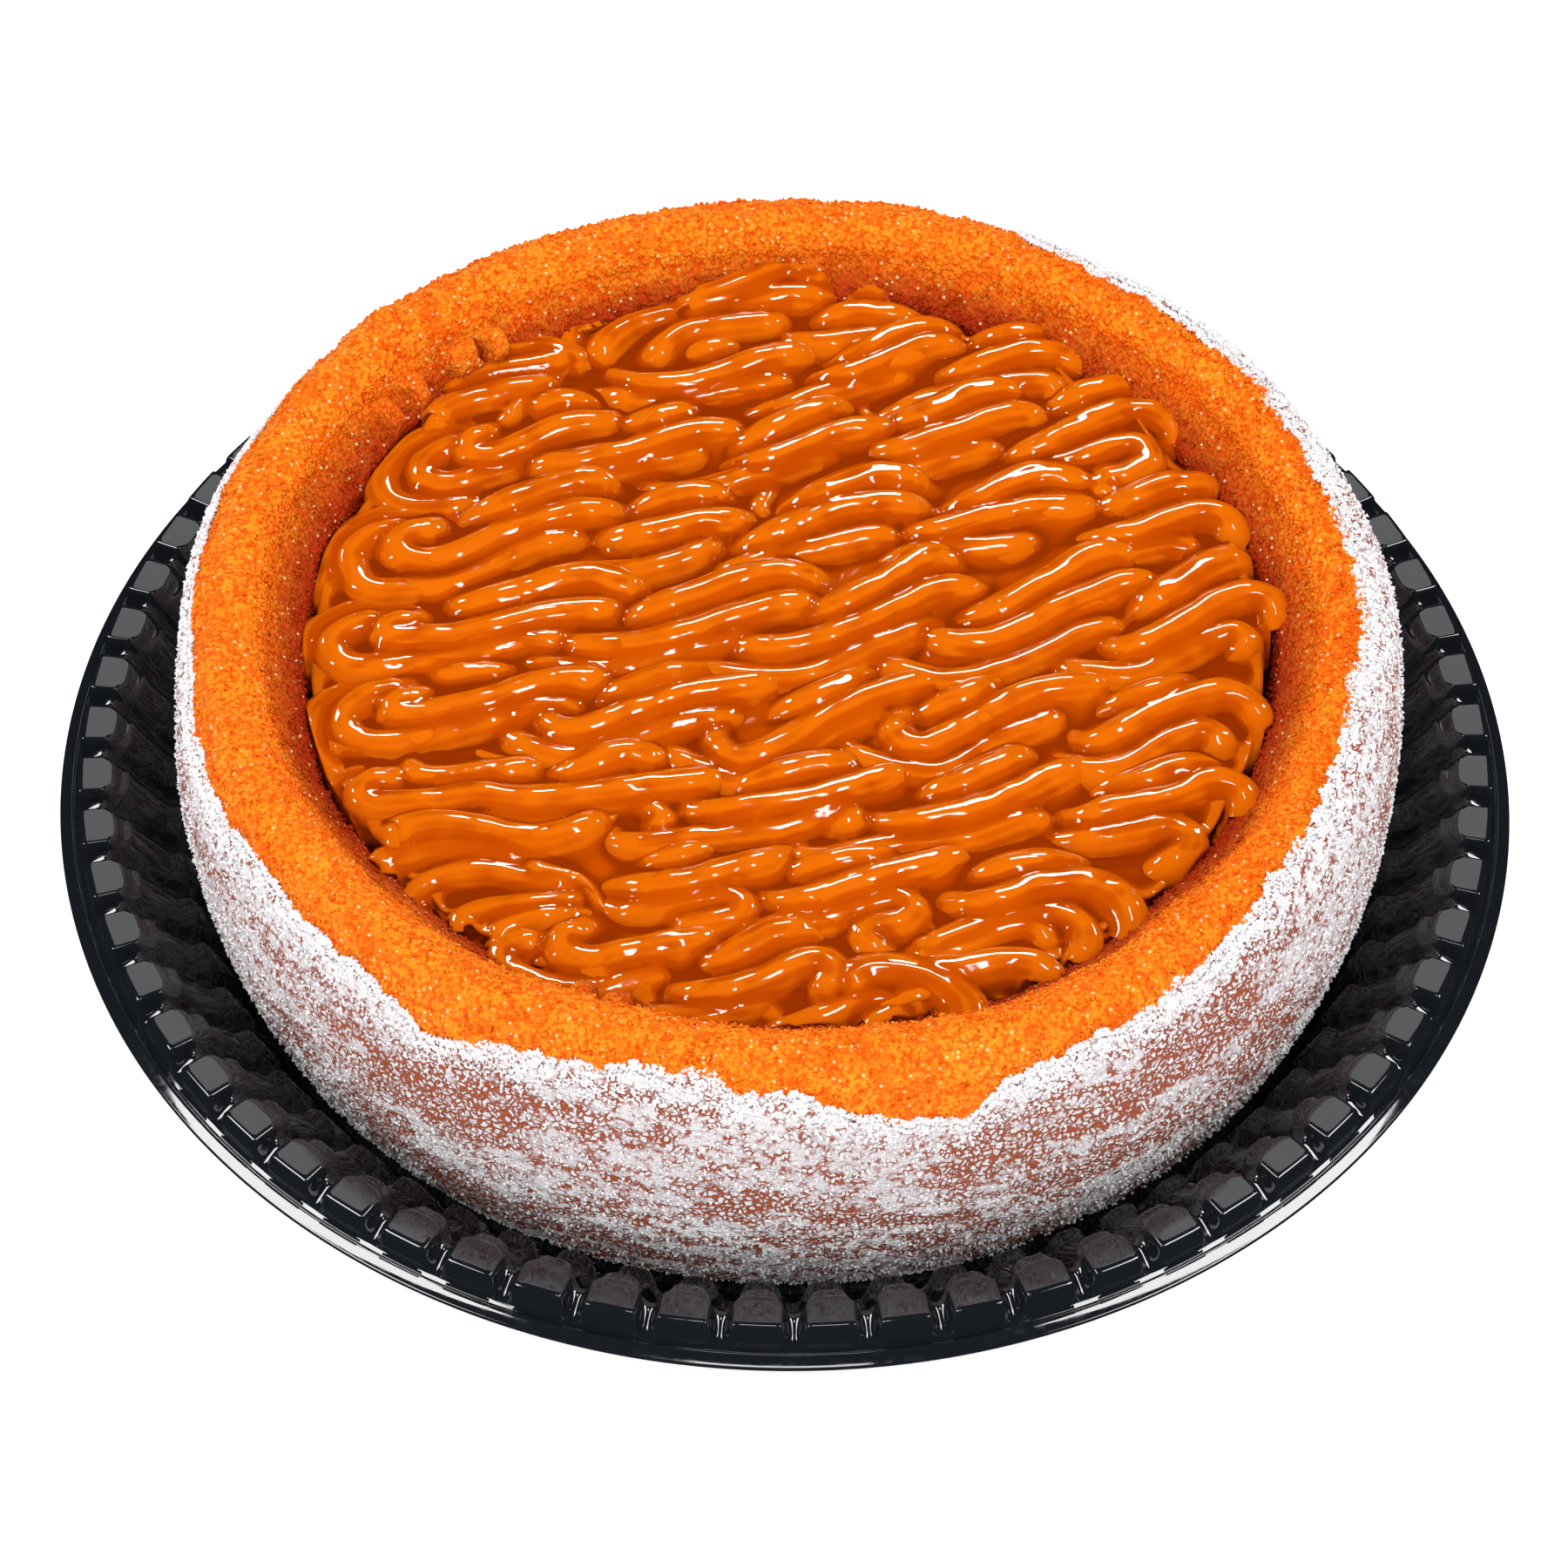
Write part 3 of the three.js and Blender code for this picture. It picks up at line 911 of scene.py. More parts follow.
@dataclass
class Sponge:
    """A barrel-sided sponge whose rounded rim stands round a well.

    Lengths are in millimetres. The outline runs from the foot up the side, over the crest and down
    to the floor of the well; a place on it is named by its length along the outline.

    Attributes:
        finish: Of the crumb.
        foot_radius: Of the side at its foot.
        belly_radius: Of the side at its widest.
        belly_height: Where it is widest.
        foot_height: Where the side begins.
        shoulder_height: Where the side ends and the crest begins.
        crest_radius: Of the rim's highest circle.
        crest_height: Of the rim.
        crest_half_width: Half the width of the rounded rim.
        crest_drop: How far the rim falls to its sides.
        well_edge: Radius and height where the well's side begins.
        well_floor: Radius and height of the well's foot.
        rises: Slow waves in the rim's height.
        wobbles: Slow waves in the side's radius.
        swells: The crumb's lumps.
        bead_height: Height of the beads of crumb.
        pore_depth: Depth of the open pores.
        pore_choice: Number above which a cell holds a pore.
        torn: Angle in degrees, lift and half the width in degrees of each flake torn up at the well.
        ragged: Unevenness of the flakes' outline, in their half widths.
        around: Cells round the cake.
        rows: Cells along the outline.
        hidden_rows: Those of them under the sugar.
        outline: Radius and height of the outline's points.
        lengths: Their places along the outline.
        shoulder: Place of the shoulder along the outline.
        stations: Places along the outline where the rows of cells meet.
    """

    finish: bpy.types.Material
    foot_radius: float = 117
    belly_radius: float = 124
    belly_height: float = 42
    foot_height: float = 3.5
    shoulder_height: float = 65.5
    crest_radius: float = 113
    crest_height: float = 72.5
    crest_half_width: float = 7.5
    crest_drop: float = 7
    well_edge: Span = (98.5, 59.5)
    well_floor: Span = (97, 44)
    rises: Waves = ((0.5, 3, 0.6), (0.35, 8, 2.1))
    wobbles: Waves = ((0.5, 5, 1.3), (0.3, 11, 0.4))
    swells: Layers = ((0.55, 0.009, 3), (0.35, 0.0038, 4))
    bead_height: float = 0.5
    pore_depth: float = 1.1
    pore_choice: float = 0.6
    ragged: Layers = ((0.45, 0.0035, 7), (0.25, 0.0015, 8))
    torn: tuple[tuple[float, float, float], ...] = (
        (128.8, 6.0, 1.6), (132.6, 4.0, 2.2), (140.4, 3.2, 1.4), (145.0, 2.4, 1.3),
        (247.8, 3.0, 1.2), (251.6, 2.6, 1.6),
    )
    around: int = 1080
    rows: int = 86
    hidden_rows: int = 7
    outline: Array = field(init=False)
    lengths: Array = field(init=False)
    shoulder: float = field(init=False)
    stations: Array = field(init=False)

    def __post_init__(self) -> None:
        """Works out the outline, where the side ends on it, and its rows of cells."""
        heights = np.linspace(self.foot_height, self.shoulder_height - 1, 60)
        fall = ((heights - self.belly_height) / (self.belly_height - self.foot_height)) ** 2
        side = np.stack([self.belly_radius - (self.belly_radius - self.foot_radius) * fall, heights], 1)
        turn = np.linspace(0.12, math.pi - 0.05, 60)
        crest = np.stack([
            self.crest_radius + self.crest_half_width * np.cos(turn),
            self.crest_height - self.crest_drop * (1 - np.sin(turn)),
        ], 1)
        foot = np.array([[self.foot_radius - 2, self.foot_height - 2]])
        self.outline = np.concatenate([foot, side, crest, [self.well_edge], [self.well_floor]])
        spans = np.linalg.norm(np.diff(self.outline, axis=0), axis=1)
        self.lengths = np.concatenate([[0], np.cumsum(spans)])
        self.shoulder = float(self.lengths[len(side)])
        self.stations = np.concatenate([
            np.linspace(0, self.shoulder - 9, self.hidden_rows),
            np.linspace(self.shoulder - 8, float(self.lengths[-1]), self.rows - self.hidden_rows),
        ])

    def on_outline(self, length: Array) -> tuple[Array, Array, Array, Array]:
        """Follows the outline.

        Args:
            length: Places along it, in millimetres.

        Returns:
            Radius and height there, and the outward direction's part along each of the two.
        """
        step, least = 0.6, 1e-9
        behind, here, ahead = (
            [np.interp(length + shift, self.lengths, part) for part in self.outline.T]
            for shift in (-step, 0, step)
        )
        outward, upward = ahead[0] - behind[0], ahead[1] - behind[1]
        size = np.hypot(outward, upward) + least
        return here[0], here[1], upward / size, -outward / size

    def surface(self, angle: Array, length: Array, lift: Array | float = 0.0) -> Array:
        """Places on the sponge's smooth but uneven skin, in metres.

        Args:
            angle: Direction from the middle.
            length: Place along the outline, in millimetres.
            lift: Distance outward from the skin, in millimetres.

        Returns:
            One row for each place.
        """
        radius, height, out, up = self.on_outline(length)
        rise = waving(angle, self.rises)
        rise = rise * smoothstep(self.shoulder - 25, self.shoulder, length) * smoothstep(50, 60, height)
        radius = radius + waving(angle, self.wobbles) * smoothstep(30, 55, height) + lift * out
        height = height + rise + lift * up
        return np.stack([radius * np.cos(angle), radius * np.sin(angle), height], 1) * MM

    def crumb_relief(self, points: Array) -> Array:
        """The open crumb's lumps, beads and pores.

        Args:
            points: Places on the smooth skin, in metres.

        Returns:
            Height of the crumb above the skin, in millimetres.
        """
        near, number = Lumps(0.0021, 5).beads(points)
        beads = self.bead_height * (0.55 - near) * (0.4 + number)
        pore_near, pore_number = Lumps(0.0065, 6).beads(points)
        pores = -self.pore_depth * smoothstep(0.26, 0.08, pore_near) * (pore_number > self.pore_choice)
        return uneven(points, self.swells) + beads + pores

    def torn_lift(self, angle: Array, length: Array, points: Array) -> Array:
        """The flakes that are torn up over the well.

        Args:
            angle: Direction from the middle.
            length: Place along the outline, in millimetres.
            points: The same places on the smooth skin, in metres.

        Returns:
            Their lift, in millimetres.
        """
        degrees = np.degrees(angle) % 360
        past = length - self.shoulder
        window = smoothstep(24, 26.5, past) * smoothstep(34, 30.5, past)
        ragged = uneven(points, self.ragged)
        lift = np.zeros(len(degrees))
        for middle, height, half in self.torn:
            across = np.abs(degrees - middle) / half + ragged
            lift = np.maximum(lift, height * smoothstep(1.15, 0.7, across) * window)
            lift = lift - 0.25 * height * smoothstep(1.2, 0.6, across) * smoothstep(32, 36, past)
        return lift

    def _drape(self, across: Array, along: Array) -> Array:
        """Lays the sheet on the outline, and closes it under the caramel and below.

        Args:
            across: Share of the way round.
            along: Share of the way along the outline, with a pole at each end.

        Returns:
            The places of the points, in metres.
        """
        angle = across * TURN
        row = np.rint(along * (self.rows + 1)).astype(int) - 1
        length = self.stations[np.clip(row, 0, self.rows - 1)]
        points = self.surface(angle, length)
        relief = self.crumb_relief(points)
        relief = relief * smoothstep(self.shoulder - 9, self.shoulder - 4, length)
        relief = relief + self.torn_lift(angle, length, points)
        points = self.surface(angle, length, relief)
        pole = (row < 0) | (row >= self.rows)
        points[pole, :2] = 0.0
        return points

    def build(self) -> bpy.types.Object:
        """Wraps the sponge in its sheet of crumb.

        Returns:
            The finished sponge.
        """
        sponge = lay_sheet("sponge", self.around, self.rows + 1, self._drape)
        weld(sponge)
        return hand_over(sponge, self.finish, ("cake",))


@dataclass
class SugarCoat:
    """The sugar on the sponge's side, with its ragged upper edge. Lengths are in millimetres.

    Attributes:
        sponge: What it lies on.
        finish: Of the coat.
        loose: Finish of the loose grains.
        edge: Angle in degrees and how far past the shoulder the sugar reaches.
        edge_turn: Angle in degrees at which the edge's table starts again.
        edge_ring: Radius of the circle along which the edge is ragged, in metres.
        ragged: Unevenness of the edge.
        streaks: Unevenness of the wear, from about -1 to 1.
        streak_levels: Levels of that between which the sugar wears off.
        clumps: Unevenness of the coat's thickness.
        bank: Distances below the edge over which the sugar banks up.
        bank_height: How much thicker it is there.
        round_edge: Length over which the edge is rounded.
        start: Place of the coat's foot along the sponge's outline.
        lip: How far below the edge its inner side starts.
        sunk: How far its inner side lies inside the sponge.
        thickness: Of the coat, on the average.
        worn_by: How much thinner it is where it is worn.
        around: Cells round the cake.
        rows: Cells up its outer side.
        inner_rows: Cells down its inner side.
        loose_count: How many loose grains lie on it.
        edge_share: Share of the grains that lie along the edge.
        grain_width: Of the finest and the coarsest grain.
        grain_stretch: How far a grain's three widths may differ from that.
        bare_share: Share of the grains below the edge that are left out all over.
        worn_share: Further share that is left out where the sugar is worn.
    """

    sponge: Sponge
    finish: bpy.types.Material
    loose: bpy.types.Material
    edge: Plan = (
        (-72, -3), (-71.5, -3.5), (-70, -0.8), (-64, 1.6), (-59, 2.7), (-51, 4.5), (-45, 4), (-39, 6),
        (-32, 8.4), (-22, 10), (-15, 11), (15, 11), (45, 10), (62, 9), (70, 4),
        (76, -3), (130, -3.5), (142, 0), (155, 3), (170, 3), (200, 1), (215, 1.5), (232, 0),
        (237, -4.7), (244, 1), (258, 3.8), (264, 6), (266, 2), (273, 1.6), (277, -2.4), (281, -5.5),
        (287, -6.3), (288, -3),
    )
    edge_turn: float = 288
    edge_ring: float = 0.12
    ragged: Layers = ((1.0, 0.0065, 11), (0.8, 0.0026, 12), (0.5, 0.0012, 13))
    streaks: Layers = ((0.55, 0.026, 18), (0.45, 0.011, 19), (0.5, 0.0045, 20))
    streak_levels: Span = (-0.3, 0.6)
    clumps: Layers = ((0.3, 0.006, 15), (0.22, 0.0024, 16))
    bank: Span = (7, 1.5)
    bank_height: float = 0.45
    round_edge: float = 1.1
    start: float = 0.6
    lip: float = 0.3
    sunk: float = 0.7
    thickness: float = 0.75
    worn_by: float = 0.2
    around: int = 1080
    rows: int = 84
    inner_rows: int = 3
    loose_count: int = 44000
    edge_share: float = 0.4
    grain_width: Span = (0.45, 0.95)
    grain_stretch: Span = (0.75, 1.2)
    bare_share: float = 0.35
    worn_share: float = 0.63

    @property
    def all_rows(self) -> int:
        """Cells up the outer side, round the edge and down the inner side."""
        return self.rows + self.inner_rows + 1

    def edge_length(self, angle: Array) -> Array:
        """The coat's ragged upper edge.

        Args:
            angle: Directions from the middle.

        Returns:
            How far along the sponge's outline the sugar reaches in each.
        """
        degrees = np.degrees(angle) % 360
        table = np.array(self.edge)
        degrees = np.where(degrees > self.edge_turn, degrees - 360, degrees)
        reach = np.interp(degrees, table[:, 0], table[:, 1])
        ring = np.stack([np.cos(angle), np.sin(angle), 0 * angle], 1) * self.edge_ring
        return self.sponge.shoulder + reach + uneven(ring, self.ragged)

    def wear(self, points: Array) -> Array:
        """The slanting streaks, low on the side, where the sugar is worn down to the crust.

        Args:
            points: Places on the side, in metres.

        Returns:
            How far it is worn at each, from 0 to 1.
        """
        angle = np.arctan2(points[:, 1], points[:, 0])
        slanted = np.column_stack([points[:, :2], 2.7 * points[:, 2] - 0.03 * np.sin(3 * angle + 0.8)])
        low = smoothstep(70, 58, points[:, 2] / MM)
        return smoothstep(*self.streak_levels, uneven(slanted, self.streaks)) * (0.35 + 0.65 * low)

    def _drape(self, across: Array, along: Array) -> Array:
        """Lays the coat up the sponge's side and back down just inside its skin.

        Args:
            across: Share of the way round.
            along: Share of the way up the outer side and down the inner one.

        Returns:
            The places of the points, in metres.
        """
        angle = across * TURN
        row = np.rint(along * self.all_rows).astype(int)
        top = self.edge_length(angle)
        outer = np.minimum(row, self.rows) / self.rows
        inner = np.clip((self.all_rows - row) / (self.inner_rows + 1), 0, 1)
        inside = row > self.rows
        up_outside = self.start + (top - self.start) * outer
        down_inside = self.start + (top - self.start - self.lip) * inner
        length = np.where(inside, down_inside, up_outside)
        points = self.sponge.surface(angle, length)
        near, number = Lumps(0.0016, 14).beads(points)
        thick = self.thickness + uneven(points, self.clumps)
        thick = thick + 0.5 * (0.5 - near) * (0.5 + number)
        thick = thick - self.worn_by * self.wear(points)
        close = smoothstep(*self.bank, top - length)
        thick = thick + close * (self.bank_height + 0.35 * Lumps(0.003, 17).soft(points))
        round_off = np.sqrt(np.clip((top - length) / self.round_edge, 0, 1))
        lift = np.where(inside, -self.sunk, thick * round_off - 0.5 * (1 - round_off))
        lift = np.where(row % self.all_rows == 0, -self.sunk, lift)
        return self.sponge.surface(angle, length, lift)

    def build(self) -> list[bpy.types.Object]:
        """Makes the coat, and the loose grains on it.

        Returns:
            The two pieces.
        """
        coat = lay_sheet("sugar_coat", self.around, self.all_rows, self._drape)
        weld(coat)
        worn = self.wear(points_of(coat)).astype(np.float32)
        coat.data.attributes.new("wear", "FLOAT", "POINT").data.foreach_set("value", worn)
        hand_over(coat, self.finish)
        return [coat, self._loose_sugar()]

    def _loose_sugar(self) -> bpy.types.Object:
        """Scatters loose grains, thickest along the coat's upper edge.

        Returns:
            The grains, as one piece.
        """
        draw = np.random.default_rng(21)
        count = 2 * self.loose_count
        angle = draw.uniform(0, TURN, count)
        top = self.edge_length(angle)
        near_edge = draw.random(count) < self.edge_share
        below = np.where(near_edge, draw.gamma(1.6, 1.6, count) - 1.4, draw.uniform(0, 70, count))
        length = np.maximum(top - below, 1.5)
        size = draw.uniform(*self.grain_width, count) * np.where(near_edge, 1.1, 0.85) * MM
        lift = np.where(below > 0.5, 0.95, 0.3) + draw.uniform(-0.1, 0.25, count)
        places = self.sponge.surface(angle, length, lift)
        left_out = (self.bare_share + self.worn_share * self.wear(places)) * ~near_edge
        stays = draw.random(count) > left_out
        places, size = places[stays][:self.loose_count], size[stays][:self.loose_count]
        count = len(places)
        deselect()
        bpy.ops.mesh.primitive_cone_add(vertices=3, radius1=0.6, depth=0.8)
        sizes = size[:, None] * draw.uniform(*self.grain_stretch, (count, 3))
        grains = scatter("loose_sugar", bpy.context.object, places, sizes, 22)
        return hand_over(grains, self.loose, smooth=False)


@dataclass
class Crumbs:
    """Beads of crumb that stand out of the sponge's rim and well.

    Attributes:
        sponge: What they stand on.
        coat: The sugar that they stay clear of.
        finish: Of the crumb.
        count: How many beads each band has.
        bands: Each band's name, its two ends past the shoulder in millimetres, and its seed.
        width: Of the finest and the coarsest bead, in millimetres.
        stretch: How far a bead's three widths may differ from that.
        stand_out: How far a bead's middle lies from the crumb's skin, in millimetres.
        clear_of_sugar: How far past the sugar's edge a bead is put that falls on the sugar.
        turn_seed: Added to a band's seed for the beads' turns.
    """

    sponge: Sponge
    coat: SugarCoat
    finish: bpy.types.Material
    count: int = 8600
    bands: tuple[tuple[str, float, float, int], ...] = (
        ("crest_crumbs", -6.0, 22.0, 31),
        ("well_crumbs", 20.0, 46.0, 32),
    )
    width: Span = (0.55, 1.15)
    stretch: Span = (0.75, 1.15)
    stand_out: Span = (-0.15, 0.2)
    clear_of_sugar: Span = (0.2, 4)
    turn_seed: int = 10

    def _places(self, draw: np.random.Generator, low: float, high: float) -> Array:
        """Picks places on the bare crumb.

        Args:
            draw: Where the chances come from.
            low: Least length past the shoulder, in millimetres.
            high: Greatest length past it.

        Returns:
            One row for each place, in metres.
        """
        angle = draw.uniform(0, TURN, self.count)
        length = self.sponge.shoulder + draw.uniform(low, high, self.count)
        clear = draw.uniform(*self.clear_of_sugar, self.count)
        bare = np.maximum(length, self.coat.edge_length(angle) + clear)
        points = self.sponge.surface(angle, bare)
        relief = self.sponge.crumb_relief(points)
        return self.sponge.surface(angle, bare, relief + draw.uniform(*self.stand_out, self.count))

    def build(self) -> list[bpy.types.Object]:
        """Scatters the beads in two bands: over the crest, and down into the well.

        Returns:
            One piece for each band.
        """
        pieces = []
        for name, low, high, seed in self.bands:
            draw = np.random.default_rng(seed)
            places = self._places(draw, low, high)
            size = draw.uniform(*self.width, self.count) * MM
            deselect()
            bpy.ops.mesh.primitive_ico_sphere_add(subdivisions=1, radius=0.5)
            sizes = size[:, None] * draw.uniform(*self.stretch, (self.count, 3))
            beads = scatter(name, bpy.context.object, places, sizes, seed + self.turn_seed)
            pieces.append(hand_over(beads, self.finish))
        return pieces


# ---------------------------------------------------------------- caramel


@dataclass(frozen=True)
class Ridge:
    """One round ridge that a tooth of the piping nozzle leaves.

    Attributes:
        crest: Its crest line in plan, in millimetres, as the tilted view shows it.
        size: Its radius, in millimetres.
        level: Height of its middle, in millimetres.
        rise: How far it comes up from below at its start, in millimetres; 0 for a blunt start.
        drop: How far it dives at its end, in millimetres.
        reach: Length of that dive, in millimetres.
        thin: Share of its width that is left at its end.
    """

    crest: Plan
    size: float
    level: float
    rise: float = 4.0
    drop: float = 5.0
    reach: float = 8.0
    thin: float = 0.6


def back(
    *crest: Span, size: float = 5.5, level: float = 58.6, rise: float = 3.0, **more: float,
) -> Ridge:
    """The fat ridge at the back of a stroke."""
    return Ridge(crest, size, level, rise, **more)


def mid(
    *crest: Span, size: float = 4.7, level: float = 59.2, rise: float = 4.0, **more: float,
) -> Ridge:
    """The ridge in the middle of a stroke."""
    return Ridge(crest, size, level, rise, **more)


def front(
    *crest: Span, size: float = 4.6, level: float = 57.8, rise: float = 3.0, **more: float,
) -> Ridge:
    """The lower ridge at the front of a stroke."""
    return Ridge(crest, size, level, rise, **more)


def under(*crest: Span, size: float = 5.5, level: float = 53.5, **more: float) -> Ridge:
    """A fold of the first layer, which shows at the caramel's edge."""
    return Ridge(crest, size, level, rise=0.0, **more)


def curl(*crest: Span, size: float = 2.5, level: float = 58.5, **more: float) -> Ridge:
    """A thin curl where the bag was turned."""
    return Ridge(crest, size, level, rise=2.0, **more)


def peak(*crest: Span, size: float = 3.2, level: float = 59.0, **more: float) -> Ridge:
    """A ridge that was pulled out to a point."""
    return Ridge(crest, size, level, rise=0.0, drop=0.0, reach=14.0, thin=0.12, **more)
